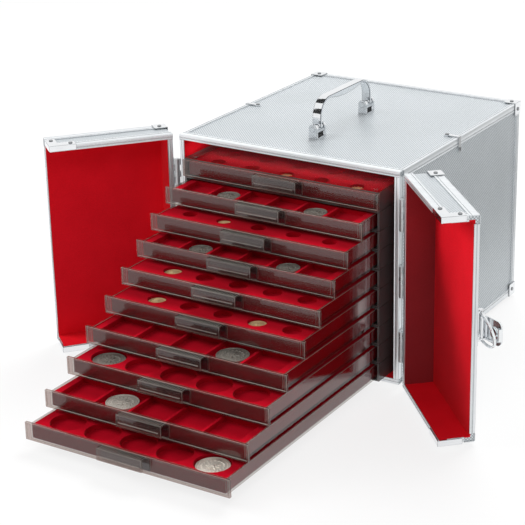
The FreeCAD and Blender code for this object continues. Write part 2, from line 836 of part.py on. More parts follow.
def upright(name, x, y, low, high, radius):
    return rod(name, (x, y, low), "z", radius, high - low)


def build_latch_plate():
    thick = size.latch_plate_thick
    start = size.leaf_gap + size.latch_inset
    half = size.latch_plate_height / 2
    barrel = size.latch_barrel_radius
    parts = [block("latch_base", (start, start + size.latch_plate_width), (FACE - thick, FACE),
                   (LATCH_Z - half, LATCH_Z + half))]
    for index, low in enumerate((LATCH_Z - EAR_INNER - size.latch_ear_thick, LATCH_Z + EAR_INNER)):
        parts.append(block("latch_ear_%d" % index, (LATCH_X - barrel, LATCH_X + barrel),
                           (LATCH_Y, FACE - thick), (low, low + size.latch_ear_thick)))
        parts.append(upright("latch_ear_round_%d" % index, LATCH_X, LATCH_Y, low,
                             low + size.latch_ear_thick, barrel))
    parts.append(upright("latch_pin", LATCH_X, LATCH_Y, LATCH_Z - EAR_INNER, LATCH_Z + EAR_INNER,
                         size.latch_pin_radius))
    rivet_x = start + size.latch_plate_width - 2 * size.rivet_radius
    for index, offset in enumerate((-1, 1)):
        parts.append(rivet("latch_rivet_%d" % index,
                           (rivet_x, FACE - thick, LATCH_Z + offset * half / 2), "y", -1))
    swing(node("latch_plate", join("latch_plate", parts)), 1)


def build_latch_lever():
    """The lever plate with rounded corners, a finger tab, a lock barrel and lugs for the bail."""
    half = LEVER_HALF
    thick = size.lever_thick
    end = LATCH_X + size.lever_length
    corner = size.lever_corner
    flat = (LATCH_Y - thick / 2, LATCH_Y + thick / 2)
    parts = [
        block("lever_root", (LATCH_X, end - corner), flat, (LATCH_Z - half, LATCH_Z + half)),
        block("lever_end", (end - corner, end), flat, (LATCH_Z - half + corner, LATCH_Z + half - corner)),
        upright("lever_barrel", LATCH_X, LATCH_Y, LATCH_Z - half, LATCH_Z + half, size.latch_barrel_radius),
        upright("lever_tab", end - size.lever_tab, LATCH_Y - thick / 2,
                LATCH_Z - half + corner, LATCH_Z + half - corner, size.lever_tab),
        upright("bail_axle", BAIL_X, BAIL_Y, LATCH_Z - BAIL_OUTER, LATCH_Z + BAIL_OUTER,
                size.latch_pin_radius),
    ]
    for index, side in enumerate((-1, 1)):
        parts.append(rod("lever_corner_%d" % index,
                         (end - corner, flat[0], LATCH_Z + side * (half - corner)), "y", corner, thick))
        low, high = whole(mirrored((half - size.lever_lug, half), side))
        parts.append(block("lever_lug_%d" % index,
                           (BAIL_X - size.latch_barrel_radius, BAIL_X + size.latch_barrel_radius),
                           (BAIL_Y, LATCH_Y), (LATCH_Z + low, LATCH_Z + high)))
        parts.append(upright("lever_lug_round_%d" % index, BAIL_X, BAIL_Y, LATCH_Z + low, LATCH_Z + high,
                             size.latch_barrel_radius))
    lock_x = (BAIL_X + end) / 2 + size.lever_tab
    lock_face = flat[0] - size.lock_height
    parts.append(rod("lever_lock", (lock_x, lock_face, LATCH_Z), "y", size.lock_radius,
                     size.lock_height))
    slot_half = size.lock_radius / 2
    slot = block("lever_key_slot", (lock_x - slot_half / 4, lock_x + slot_half / 4),
                 (lock_face, lock_face + size.lock_height), (LATCH_Z - slot_half, LATCH_Z + slot_half))
    bore = upright("lever_bore", LATCH_X, LATCH_Y, LATCH_Z - half, LATCH_Z + half,
                   size.latch_pin_radius + size.pin_gap)
    lever = cut("latch_lever", join("lever_solid", parts), group("lever_holes", [slot, bore]))
    node("latch_lever", lever)
    pivot = (LATCH_X, LATCH_Y)
    goal = turned_point(pivot, (HINGE_X, HINGE_Y), size.right_door_angle)
    pose_in_plan(lever, pivot, size.right_door_angle - size.lever_angle, goal)


def build_latch_bail():
    """A loop with two arms on the lever's axle and a deep end bar that hooks the keeper."""
    arm_y = (BAIL_Y - size.bail_depth / 2, BAIL_Y + size.bail_depth / 2)
    parts = []
    for index, side in enumerate((-1, 1)):
        low, high = whole(mirrored((BAIL_INNER, BAIL_OUTER), side))
        parts.append(block("bail_arm_%d" % index, (HOOK_X, BAIL_X), arm_y, (LATCH_Z + low, LATCH_Z + high)))
        parts.append(upright("bail_eye_%d" % index, BAIL_X, BAIL_Y, LATCH_Z + low, LATCH_Z + high,
                             size.bail_depth / 2 + size.slide_gap))
    parts.append(block("bail_bar", (HOOK_X, HOOK_X + size.bail_thick), (arm_y[0], arm_y[0] + size.bail_hook),
                       (LATCH_Z - BAIL_OUTER, LATCH_Z + BAIL_OUTER)))
    parts.append(block("bail_cover", (HOOK_X, HOOK_X + size.bail_length / 3),
                       (arm_y[0], arm_y[0] + size.bail_thick / 2),
                       (LATCH_Z - BAIL_OUTER, LATCH_Z + BAIL_OUTER)))
    bore = upright("bail_bore", BAIL_X, BAIL_Y, LATCH_Z - BAIL_OUTER, LATCH_Z + BAIL_OUTER,
                   size.latch_pin_radius + size.pin_gap)
    bail = cut("latch_bail", join("bail_solid", parts), bore)
    node("latch_bail", bail)
    pivot = (BAIL_X, BAIL_Y)
    goal = turned_point(pivot, (LATCH_X, LATCH_Y), -size.lever_angle)
    goal = turned_point(goal, (HINGE_X, HINGE_Y), size.right_door_angle)
    # Shut, the bail points at the keeper; its angle is measured from that of the shut lever.
    pose_in_plan(bail, pivot, size.right_door_angle + 180 - size.bail_angle, goal)


def build_keeper():
    thick = size.latch_plate_thick
    start = size.keeper_inset
    plate = block("keeper_plate", mirrored((start, start + size.keeper_width), -1), (FACE - thick, FACE),
                  (LATCH_Z - size.keeper_height / 2, LATCH_Z + size.keeper_height / 2))
    lip_x = HOOK_X + size.bail_thick + size.hook_gap
    lip = block("keeper_lip", (lip_x, lip_x + size.keeper_lip_thick),
                (FACE - thick - size.keeper_lip_rise, FACE - thick),
                (LATCH_Z - size.keeper_lip_height / 2, LATCH_Z + size.keeper_lip_height / 2))
    parts = [plate, lip]
    for index, offset in enumerate((-1, 1)):
        parts.append(rivet("keeper_rivet_%d" % index,
                           (-(start + size.keeper_width / 3), FACE - thick,
                            LATCH_Z + offset * (size.keeper_height / 2 - 2 * size.rivet_radius)), "y", -1))
    swing(node("keeper", join("keeper", parts)), -1)


# Box sleeves: ten smoke-tinted sleeves stacked on their studs, open at the front

FLOOR = BASE + WALL
SLEEVE_FRONT = FRONT - size.box_reach
SLEEVE_BACK = BACK - WALL - size.sleeve_back_gap


def sleeve_base(level):
    """Height of a sleeve's underside; level 1 is the top box."""
    return FLOOR + size.slide_gap + size.box_pitch * (len(DRAWER_PULLS) - level)


def build_box_sleeves():
    half = size.box_width / 2
    sleeves = []
    for level in range(1, len(DRAWER_PULLS) + 1):
        base = sleeve_base(level)
        name = "sleeve_%02d" % level
        wall = size.sleeve_wall
        skin = size.sleeve_skin
        outer = block(name + "_outer", (-half, half), (SLEEVE_FRONT, SLEEVE_BACK),
                      (base, base + BOX_HEIGHT))
        inner = block(name + "_inner", (wall - half, half - wall), (SLEEVE_FRONT, SLEEVE_BACK - wall),
                      (base + skin, base + BOX_HEIGHT - skin))
        pieces = [cut(name + "_shell", outer, inner)]
        stud_low = base + BOX_HEIGHT
        for corner_x in (-1, 1):
            for end, stud_y in (("front", SLEEVE_FRONT + size.stud_inset),
                                ("rear", SLEEVE_BACK - size.stud_inset)):
                stud = rod("%s_stud_%s_%d" % (name, end, corner_x),
                           (corner_x * (half - size.stud_inset), stud_y, stud_low), "z",
                           size.stud_radius, size.box_air)
                pieces.append(stud)
        sleeves.append(join(name, pieces))
    node("box_sleeves", group("box_sleeves", sleeves))


# Drawers: a smoke-tinted tray with a wide front panel and a hooked pull

TRAY_HALF = size.box_width / 2 - size.tray_inset
TRAY_HEIGHT = BOX_HEIGHT - 2 * size.sleeve_skin - size.slide_gap - size.tray_air
PANEL_HEIGHT = BOX_HEIGHT - 2 * size.panel_margin
WINDOW_HEIGHT = PANEL_HEIGHT - 2 * size.window_margin
GRIP_DROP = WINDOW_HEIGHT - size.grip_lift


def drawer_pull(level):
    return getattr(size, "pull_%02d" % level)


def build_tray(level):
    name = "drawer_%02d_tray" % level
    base = sleeve_base(level)
    floor = base + size.sleeve_skin + size.slide_gap
    roof = floor + TRAY_HEIGHT
    half = TRAY_HALF
    wall = size.tray_wall
    panel_back = SLEEVE_FRONT - size.slide_gap
    panel_front = panel_back - size.panel_thick
    tray_back = SLEEVE_BACK - size.sleeve_wall - size.tray_end_gap
    outer = block(name + "_outer", (-half, half), (panel_back, tray_back), (floor, roof))
    inner = block(name + "_inner", (wall - half, half - wall), (panel_back, tray_back - wall),
                  (floor + size.tray_floor, roof))
    shell = cut(name + "_shell", outer, inner)

    panel_half = size.box_width / 2
    panel_low = base + size.panel_margin
    panel_high = panel_low + PANEL_HEIGHT
    rim = size.panel_rim
    panel = block(name + "_panel", (-panel_half, panel_half), (panel_front, panel_back),
                  (panel_low, panel_high))
    field = block(name + "_field", (rim - panel_half, panel_half - rim),
                  (panel_front, panel_front + size.panel_field_depth), (panel_low + rim, panel_high - rim))
    window_half = size.window_width / 2
    window_low = panel_low + size.window_margin
    window_high = window_low + WINDOW_HEIGHT
    window = block(name + "_window", (-window_half, window_half), (panel_front, panel_back),
                   (window_low, window_high))
    front = cut(name + "_front", panel, group(name + "_cutouts", [field, window]))

    grip_half = size.grip_width / 2
    grip_front = panel_front - size.grip_reach
    shelf = block(name + "_shelf", (-grip_half, grip_half),
                  (grip_front, panel_front + size.panel_field_depth + size.grip_wall / 2),
                  (window_high, window_high + size.grip_wall))
    shelf_root = block(name + "_shelf_root", (-grip_half, grip_half),
                       (panel_front, panel_back), (window_high, panel_high - rim))
    lip_low = window_high + size.grip_wall - GRIP_DROP
    lip_block = block(name + "_lip_block", (-grip_half, grip_half),
                      (grip_front, grip_front + size.grip_wall), (lip_low, window_high + size.grip_wall))
    groove_half = grip_half - size.label_groove_inset
    groove_low = lip_low + size.label_groove_rise
    groove = block(name + "_label_groove", (-groove_half, groove_half),
                   (grip_front, grip_front + size.label_groove_depth),
                   (groove_low, groove_low + size.label_groove_height))
    lip = cut(name + "_lip", lip_block, groove)
    tray = node(name, join(name, [shell, front, shelf, shelf_root, lip]))
    bind(tray, "Placement.Base.y", -drawer_pull(level))


# Felt inserts: sheets with round or square compartments, each body patterned from one recess

INSERT_LAYOUTS = {
    "fine_round": {"columns": 5, "rows": 10, "bore": size.small_bore, "stagger": False},
    "spaced_round": {"columns": 5, "rows": 7, "bore": size.small_bore, "stagger": False},
    "small_square": {"columns": 6, "rows": 8, "bore": None, "stagger": False},
    "staggered_round": {"columns": 5, "rows": 7, "bore": size.middle_bore, "stagger": True},
    "large_square": {"columns": 5, "rows": 7, "bore": None, "stagger": False},
    "large_round": {"columns": 5, "rows": 7, "bore": size.large_bore, "stagger": False},
}
DRAWER_LAYOUTS = ["fine_round", "small_square", "spaced_round", "small_square", "staggered_round",
                  "staggered_round", "large_square", "large_round", "large_square", "large_round"]


INSERT_WIDTH = 2 * (TRAY_HALF - size.tray_wall - size.insert_gap)
INSERT_HEIGHT = TRAY_HEIGHT - size.tray_floor - size.insert_sink


def insert_span():
    """Length of the sheet that fits the tray, and where its front edge lies."""
    front = SLEEVE_FRONT - size.slide_gap + size.insert_gap
    back = SLEEVE_BACK - size.sleeve_wall - size.tray_end_gap - size.tray_wall - size.insert_gap
    return back - front, front


def origin_plane(body, role):
    for feature in body.Origin.OriginFeatures:
        if feature.Role == role:
            return feature
    raise LookupError(role)


def sketch_on(body, name, plane, offset=None):
    sketch = body.newObject("Sketcher::SketchObject", name)
    sketch.AttachmentSupport = [(origin_plane(body, plane), "")]
    sketch.MapMode = "FlatFace"
    if offset is not None:
        bind(sketch, "AttachmentOffset.Base.z", offset)
    return sketch


def pinned(sketch, element, point, x, y):
    """Fix a point of a sketch at two sheet-driven coordinates."""
    for kind, amount in (("DistanceX", x), ("DistanceY", y)):
        amount = as_size(amount)
        index = sketch.addConstraint(Sketcher.Constraint(kind, -1, 1, element, point, amount.value))
        sketch.setExpression("Constraints[%d]" % index, amount.formula)


def draw_rectangle(sketch, x, y):
    corners = [(x[0], y[0]), (x[1], y[0]), (x[1], y[1]), (x[0], y[1])]
    first = sketch.GeometryCount
    for index, corner in enumerate(corners):
        following = corners[(index + 1) % 4]
        sketch.addGeometry(Part.LineSegment(
            FreeCAD.Vector(corner[0].value, corner[1].value, 0),
            FreeCAD.Vector(following[0].value, following[1].value, 0)), False)
    for index in range(4):
        sketch.addConstraint(Sketcher.Constraint("Coincident", first + index, 2,
                                                 first + (index + 1) % 4, 1))
    for index, corner in enumerate(corners):
        pinned(sketch, first + index, 1, *corner)


def draw_circle(sketch, x, y, radius):
    index = sketch.addGeometry(Part.Circle(FreeCAD.Vector(x.value, y.value, 0),
                                           FreeCAD.Vector(0, 0, 1), radius.value), False)
    pinned(sketch, index, 3, x, y)
    number = sketch.addConstraint(Sketcher.Constraint("Radius", index, radius.value))
    sketch.setExpression("Constraints[%d]" % number, radius.formula)


def pad(body, sketch, name, length):
    feature = body.newObject("PartDesign::Pad", name)
    feature.Profile = sketch
    bind(feature, "Length", length)
    return feature


def pocket(body, sketch, name, length, reversed_way=False):
    feature = body.newObject("PartDesign::Pocket", name)
    feature.Profile = sketch
    feature.Reversed = reversed_way
    bind(feature, "Length", length)
    return feature


def pattern(body, name, original, runs):
    """Repeat a feature along one or two origin axes: (role, total length, count) each."""
    repeat = body.newObject("PartDesign::MultiTransform", name)
    repeat.Originals = [original]
    steps = []
    for role, length, count in runs:
        line = doc.addObject("PartDesign::LinearPattern", "%s_%s" % (name, role[0].lower()))
        line.Direction = (origin_plane(body, role), [""])
        bind(line, "Length", length)
        line.Occurrences = count
        steps.append(line)
        body.addObject(line)
    repeat.Transformations = steps
    body.Tip = repeat
    return repeat


def recess_columns(layout):
    """X of the first recess and the pitch across; staggered rows shift a quarter pitch each way."""
    count = layout["columns"]
    if layout["stagger"]:
        pitch = (INSERT_WIDTH - 2 * size.staggered_margin) / count
        return pitch / 4 - pitch * (count - 1) / 2, pitch
    pitch = (INSERT_WIDTH - 2 * size.grid_margin) / count
    return -pitch * (count - 1) / 2, pitch


def cut_recesses(body, name, layout, first, pitch, row_pitch, start_row, row_step):
    """One recess, cut and then repeated across the sheet and from front to back."""
    outline = sketch_on(body, name + "_outline", "XY_Plane", INSERT_HEIGHT)
    centre_y = row_pitch * (start_row + 0.5)
    if layout["bore"] is None:
        half_x = (pitch - size.divider) / 2
        half_y = (row_pitch - size.divider) / 2
        draw_rectangle(outline, (first - half_x, first + half_x), (centre_y - half_y, centre_y + half_y))
    else:
        draw_circle(outline, first, centre_y, layout["bore"] / 2)
    recess = pocket(body, outline, name + "_cut", size.recess_depth)
    repeats = (layout["rows"] - start_row + row_step - 1) // row_step
    pattern(body, name + "_grid", recess,
            [("X_Axis", pitch * (layout["columns"] - 1), layout["columns"]),
             ("Y_Axis", row_pitch * row_step * (repeats - 1), repeats)])


def build_insert(level):
    layout = INSERT_LAYOUTS[DRAWER_LAYOUTS[level - 1]]
    name = "drawer_%02d_insert" % level
    width = INSERT_WIDTH
    length, front = insert_span()
    body = doc.addObject("PartDesign::Body", name)
    blank = sketch_on(body, name + "_outline", "XY_Plane")
    draw_rectangle(blank, (-width / 2, width / 2), (as_size(0), length))
    pad(body, blank, name + "_sheet", INSERT_HEIGHT)

    skirt = size.insert_skirt
    under = sketch_on(body, name + "_under_outline", "XY_Plane")
    draw_rectangle(under, (skirt - width / 2, width / 2 - skirt), (skirt, length - skirt))
    pocket(body, under, name + "_under", INSERT_HEIGHT - size.recess_depth - size.insert_floor, True)

    first, pitch = recess_columns(layout)
    row_pitch = length / layout["rows"]
    if layout["stagger"]:
        cut_recesses(body, name + "_odd", layout, first, pitch, row_pitch, 0, 2)
        cut_recesses(body, name + "_even", layout, first - pitch / 2, pitch, row_pitch, 1, 2)
    else:
        cut_recesses(body, name + "_all", layout, first, pitch, row_pitch, 0, 1)
    floor = sleeve_base(level) + size.sleeve_skin + size.slide_gap + size.tray_floor
    place(body, as_size(0), front - drawer_pull(level), floor)
    node(name, body)


# Coins: (column, row, diameter) of each coin in its drawer's insert, both counted from 0

COINS = {
    1: [(2, 0, size.coin_small), (4, 0, size.coin_small)],
    2: [(1, 0, size.coin_wide), (4, 0, size.coin_wide)],
    3: [(1, 0, size.coin_small)],
    4: [(1, 0, size.coin_wide), (4, 0, size.coin_wide)],
    5: [(0, 0, size.coin_medium)],
    6: [(0, 0, size.coin_medium), (3, 0, size.coin_medium)],
    7: [(3, 0, size.coin_large)],
    8: [(0, 0, size.coin_large), (0, 1, size.coin_large)],
    9: [(1, 0, size.coin_large)],
    10: [(4, 0, size.coin_large)],
}


COIN_BOSS = 0.5


def build_coins(level):
    """Struck discs with a raised rim, lying on the recess floors of one drawer."""
    layout = INSERT_LAYOUTS[DRAWER_LAYOUTS[level - 1]]
    name = "drawer_%02d_coins" % level
    length, front = insert_span()
    first, pitch = recess_columns(layout)
    row_pitch = length / layout["rows"]
    floor = (sleeve_base(level) + size.sleeve_skin + size.slide_gap + size.tray_floor
             + INSERT_HEIGHT - size.recess_depth)
    coins = []
    for index, (column, row, diameter) in enumerate(COINS[level]):
        x = first + pitch * column
        y = front + row_pitch * (row + 0.5)
        radius = diameter / 2
        tag = "%s_%d" % (name, index)
        disc = rod(tag + "_disc", (x, y, floor), "z", radius, size.coin_thick)
        field_radius = radius - size.coin_rim
        upper = rod(tag + "_upper", (x, y, floor + size.coin_thick - size.coin_field_depth), "z",
                    field_radius, size.coin_field_depth)
        boss = rod(tag + "_boss", (x, y, floor + size.coin_thick / 2), "z", field_radius * COIN_BOSS,
                   size.coin_thick / 2)
        coins.append(join(tag, [cut(tag + "_struck", disc, upper), boss]))
    result = node(name, group(name, coins))
    bind(result, "Placement.Base.y", -drawer_pull(level))


build_case_boards()
build_case_lining()
build_front_frame()
build_case_edge_rails()
build_rear_corner_caps()
build_edge_clips()
build_case_rivets()
build_feet()
build_handle_brackets()
build_handle_bow()
build_case_hinges()
build_door("left", -1)
build_door("right", 1)
build_latch_plate()
build_latch_lever()
build_latch_bail()
build_keeper()
build_box_sleeves()
for drawer in range(1, len(DRAWER_PULLS) + 1):
    build_tray(drawer)
    build_insert(drawer)
    build_coins(drawer)

doc.recompute()

failed = [thing.Name for thing in doc.Objects
          if "Invalid" in thing.State or "Error" in thing.State]
if failed:
    raise RuntimeError("objects that did not build: " + ", ".join(failed))
for thing in nodes:
    if thing.Shape.isNull() or not thing.Shape.isValid():
        raise RuntimeError("bad shape: " + thing.Label)

os.makedirs("parts", exist_ok=True)
for thing in nodes:
    thing.Shape.exportStep("parts/%s.step" % thing.Label)
print("%d nodes, %d solids" % (len(nodes), sum(len(thing.Shape.Solids) for thing in nodes)))
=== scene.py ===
# %% [markdown]
# # A coin case with ten drawers, dressed in Blender
#
# The object is an aluminium-edged carrying case. Its two door leaves stand open, and ten
# smoke-coloured plastic drawers with red flocked inserts are pulled out in steps. The CAD
# frame already gives every part its size and place. This lesson gives the parts their
# rounded edges, small relief and finishes, and sets up a plain studio around them.
# All lengths are metres, in the frame of the CAD model.

# %% Load the frame
import json
import math

import bpy
from mathutils import Matrix, Vector


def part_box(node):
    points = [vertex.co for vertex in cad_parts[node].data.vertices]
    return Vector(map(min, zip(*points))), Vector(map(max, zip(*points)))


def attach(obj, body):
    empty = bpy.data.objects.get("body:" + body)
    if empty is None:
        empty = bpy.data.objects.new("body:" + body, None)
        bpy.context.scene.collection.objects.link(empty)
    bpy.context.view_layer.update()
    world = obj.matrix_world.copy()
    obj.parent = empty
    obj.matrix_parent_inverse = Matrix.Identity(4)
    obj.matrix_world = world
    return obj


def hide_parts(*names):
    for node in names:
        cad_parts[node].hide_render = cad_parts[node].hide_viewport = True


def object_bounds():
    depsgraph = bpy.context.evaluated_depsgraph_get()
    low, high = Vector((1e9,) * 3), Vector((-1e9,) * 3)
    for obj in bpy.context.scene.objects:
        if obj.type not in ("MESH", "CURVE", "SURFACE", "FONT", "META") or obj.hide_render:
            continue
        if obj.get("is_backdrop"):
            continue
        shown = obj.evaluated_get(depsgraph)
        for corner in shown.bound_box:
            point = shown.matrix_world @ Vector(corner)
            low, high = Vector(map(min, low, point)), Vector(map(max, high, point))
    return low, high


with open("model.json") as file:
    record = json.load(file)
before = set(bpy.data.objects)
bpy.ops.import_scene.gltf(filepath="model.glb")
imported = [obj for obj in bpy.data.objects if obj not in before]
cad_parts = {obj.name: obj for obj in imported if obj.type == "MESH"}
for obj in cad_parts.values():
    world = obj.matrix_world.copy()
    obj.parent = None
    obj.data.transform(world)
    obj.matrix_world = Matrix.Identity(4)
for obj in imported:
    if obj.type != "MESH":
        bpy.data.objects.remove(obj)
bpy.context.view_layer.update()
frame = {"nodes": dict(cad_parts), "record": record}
MM = 0.001
BODY_OF = {node: body for body, members in frame["record"]["behaviour"]["bodies"].items()
           for node in members}
SLOT_OF = {part["node"]: part["material_slot"] for part in frame["record"]["subparts"]}

# %% [markdown]
# ## The camera
#
# The photograph is a product shot from a little above the lid, with a long lens. The
# camera's place and turn were found by matching corners of the case, so the picture's
# main point is not in the middle, and a small shift frames the case as the photo does.

# %% Camera
CAMERA_PLACE = Vector((0.8651, -1.5298, 0.7587))
CAMERA_AZIMUTH = math.radians(30.23)
CAMERA_ELEVATION = math.radians(20.42)
CAMERA_ROLL = math.radians(-0.42)
LENS = 113.9
SHIFT = (-0.1375, -0.0602)


def look_axes(azimuth, elevation, roll):
    """The right, up and back directions of a camera that looks down at the case."""
    back = Vector((math.sin(azimuth) * math.cos(elevation),
                   -math.cos(azimuth) * math.cos(elevation), math.sin(elevation)))
    level = Vector((math.cos(azimuth), math.sin(azimuth), 0))
    upright = back.cross(level)
    right = level * math.cos(roll) + upright * math.sin(roll)
    up = upright * math.cos(roll) - level * math.sin(roll)
    return right, up, back


camera = bpy.data.objects.new("camera", bpy.data.cameras.new("camera"))
bpy.context.scene.collection.objects.link(camera)
axes = Matrix(look_axes(CAMERA_AZIMUTH, CAMERA_ELEVATION, CAMERA_ROLL)).transposed()
camera.matrix_world = Matrix.Translation(CAMERA_PLACE) @ axes.to_4x4()
camera.data.lens = LENS
camera.data.shift_x, camera.data.shift_y = SHIFT
camera.data.clip_end = 50
bpy.context.scene.camera = camera
bpy.context.scene.view_settings.view_transform = "Standard"
print("camera at", tuple(round(c, 3) for c in CAMERA_PLACE))

# %% [markdown]
# ## Recipes for materials
#
# A finish is a small tree of nodes. Written out in full, such trees are long and hard to
# read, so a helper adds one node at a time: its inputs are either plain values or the
# output of an earlier node, which is then linked. Every pattern reads object coordinates,
# so it keeps to its piece when a door swings or a drawer slides.

# %% Material helpers


class Recipe:
    """A material that is built up one node at a time."""

    def __init__(self, name, colour, roughness, metallic=0.0, **constants):
        self.material = bpy.data.materials.new(name)
        self.material.use_nodes = True
        self.tree = self.material.node_tree
        self.surface = self.tree.nodes["Principled BSDF"]
        self.set(self.surface, {"Base Color": (*colour, 1), "Roughness": roughness,
                                "Metallic": metallic})
        self.set(self.surface, {key.replace("_", " "): value
                                for key, value in constants.items()})
        self.material.diffuse_color = (*colour, 1)

    def set(self, target, inputs):
        for key, value in inputs.items():
            if isinstance(value, bpy.types.NodeSocket):
                self.tree.links.new(value, target.inputs[key])
            else:
                target.inputs[key].default_value = value

    def add(self, kind, inputs=None, output=0, **settings):
        """Add one node and return the output that the next node reads."""
        made = self.tree.nodes.new("ShaderNode" + kind)
        for key, value in settings.items():
            setattr(made, key, value)
        self.set(made, inputs or {})
        return made.outputs[output]

    def maths(self, operation, first, second=0.0):
        return self.add("Math", {0: first, 1: second}, operation=operation)

    def ramp(self, value, low, high, start=0.0, end=1.0):
        """Spread the range from low to high over start to end."""
        return self.add("MapRange", {"Value": value, "From Min": low, "From Max": high,
                                     "To Min": start, "To Max": end})

    def place(self, turn=0.0, scale=(1, 1, 1), source="Object"):
        """Coordinates of the piece, turned about the vertical and stretched."""
        where = self.add("TexCoord", output=source)
        return self.add("Mapping", {"Vector": where, "Rotation": (0, 0, turn), "Scale": scale})

    def noise(self, where, scale, detail=3.0, roughness=0.5):
        return self.add("TexNoise", {"Vector": where, "Scale": scale, "Detail": detail,
                                     "Roughness": roughness})

    def blend(self, factor, first, second):
        """A colour between two others."""
        mix = self.tree.nodes.new("ShaderNodeMix")
        mix.data_type = "RGBA"
        self.set(mix, {0: factor})
        for socket, colour in ((mix.inputs[6], first), (mix.inputs[7], second)):
            if isinstance(colour, bpy.types.NodeSocket):
                self.tree.links.new(colour, socket)
            else:
                socket.default_value = (*colour, 1)
        return mix.outputs[2]

    def bump(self, height, depth, strength=1.0):
        """Raise the surface by a height that reaches the given depth in metres."""
        relief = self.add("Bump", {"Height": height, "Distance": depth,
                                   "Strength": strength})
        self.set(self.surface, {"Normal": relief})


def screen_colour(red, green, blue):
    """A colour as it looks on a screen, from 0 to 255, made linear for the shader."""
    return tuple(c / 12.92 if c <= 0.04045 else ((c + 0.055) / 1.055) ** 2.4
                 for c in (red / 255, green / 255, blue / 255))


print("middle grey for the shader: %.3f" % screen_colour(128, 128, 128)[0])

# %% [markdown]
# ## The studio
#
# A product shot like this one is cut out on white. A wide floor takes the light and keeps
# the soft shadow, and it looks nearly white to the camera, to gloss and to clear plastic.
# The white comes from the share of plain glow in its finish, and not from more light.

# %% Floor
FLOOR_HALF = 12.0
FLOOR_WHITENESS = 0.82
FLOOR_PAINT = (0.86, 0.86, 0.86)


def floor_material():
    """Pale paint that glows white for the camera, for gloss and for clear plastic."""
    recipe = Recipe("studio_floor", FLOOR_PAINT, 0.6)
    path = recipe.tree.nodes.new("ShaderNodeLightPath")
    seen = recipe.maths("MAXIMUM", path.outputs["Is Camera Ray"], path.outputs["Is Glossy Ray"])
    seen = recipe.maths("MAXIMUM", seen, path.outputs["Is Transmission Ray"])
    glow = recipe.add("Emission", {"Color": (1, 1, 1, 1), "Strength": 1.0})
    shade = recipe.add("MixShader", {0: recipe.maths("MULTIPLY", seen, FLOOR_WHITENESS),
                                     1: recipe.surface.outputs[0], 2: glow})
    recipe.set(recipe.tree.nodes["Material Output"], {"Surface": shade})
    return recipe.material


bpy.ops.object.select_all(action="DESELECT")
bpy.ops.mesh.primitive_plane_add(size=2 * FLOOR_HALF)
floor = bpy.context.active_object
floor.name = "studio_floor"
floor.data.materials.append(floor_material())
floor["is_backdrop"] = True
print("floor is", 2 * FLOOR_HALF, "m wide")

# %% [markdown]
# In the photo the lid is the lightest wall and the right-hand one is darker, and the felt of
# both leaves is well lit while the narrow side wall of the right leaf is dim. So one large
# lamp hangs above and well behind, and each drawer shades the one below. A second lamp
# stands at the left and a third at the right. A thin strip under the front edge of the lid
# lightens the uppermost box and the lining beside it, which the lid would leave black.
# The lamps stay out of mirror reflections, which show the white surroundings instead.

# %% Lamps


def soft_lamp(name, place, aim, width, height, power):
    """A large four-sided lamp that looks at a point of the case."""
    lamp = bpy.data.lights.new(name, "AREA")
    lamp.shape = "RECTANGLE"
    lamp.size, lamp.size_y, lamp.energy = width, height, power
    holder = bpy.data.objects.new(name, lamp)
    holder.location = place
    holder.rotation_euler = (Vector(aim) - Vector(place)).to_track_quat("-Z", "Y").to_euler()
    bpy.context.scene.collection.objects.link(holder)
    return holder


lamps = [soft_lamp("lamp_above", (-0.1, 1.25, 2.1), (0, -0.15, 0.15), 1.5, 1.2, 60),
         soft_lamp("lamp_left", (-2.2, -1.0, 1.6), (0.1, -0.15, 0.12), 1.3, 1.3, 48),
         soft_lamp("lamp_right", (1.2, -1.9, 2.3), (-0.2, -0.15, 0.12), 1.1, 1.1, 17),
         soft_lamp("lamp_under_lid", (0, -0.132, 0.2315), (0, -0.122, 0.2), 0.22, 0.01, 0.14)]
lamps[-1].visible_camera = False
for lamp in lamps:
    lamp.visible_glossy = False
print("lamps, in watts:", [round(lamp.data.energy, 2) for lamp in lamps])

# %% [markdown]
# The surroundings give a little even light of their own. To the camera, to gloss and to
# clear plastic they look plain white, which the light path tells apart.

# %% White surroundings
ROOM_LIGHT = 0.25
ROOM_WHITE = 1.0
world = bpy.data.worlds.new("studio")
bpy.context.scene.world = world
world.use_nodes = True
sky = world.node_tree
sky.nodes.clear()
path = sky.nodes.new("ShaderNodeLightPath")
seen = path.outputs["Is Camera Ray"]
for kind in ("Is Glossy Ray", "Is Transmission Ray"):
    either = sky.nodes.new("ShaderNodeMath")
    either.operation = "MAXIMUM"
    sky.links.new(seen, either.inputs[0])
    sky.links.new(path.outputs[kind], either.inputs[1])
    seen = either.outputs[0]
light, backdrop, choice, end = (
    sky.nodes.new("ShaderNode" + kind)
    for kind in ("Background", "Background", "MixShader", "OutputWorld"))
light.inputs["Strength"].default_value = ROOM_LIGHT
backdrop.inputs["Strength"].default_value = ROOM_WHITE
for shade in (light, backdrop):
    shade.inputs["Color"].default_value = (1, 1, 1, 1)
sky.links.new(seen, choice.inputs[0])
sky.links.new(light.outputs[0], choice.inputs[1])
sky.links.new(backdrop.outputs[0], choice.inputs[2])
sky.links.new(choice.outputs[0], end.inputs[0])
print("room light", ROOM_LIGHT, "and white", ROOM_WHITE)

# %% [markdown]
# Polished chrome shows its surroundings, and in an all-white room it would look like chalk.
# A photographer puts dark cards around such parts. Here they are seen by mirror reflections
# only, so they take no light away and throw no shadow. The cards above and in front draw the
# two dark bands on the bend of the handle. A grey card beside the case tones its right wall.

# %% Cards for the chrome
BLACK_PAPER = 0.015
GREY_PAPER = 0.3


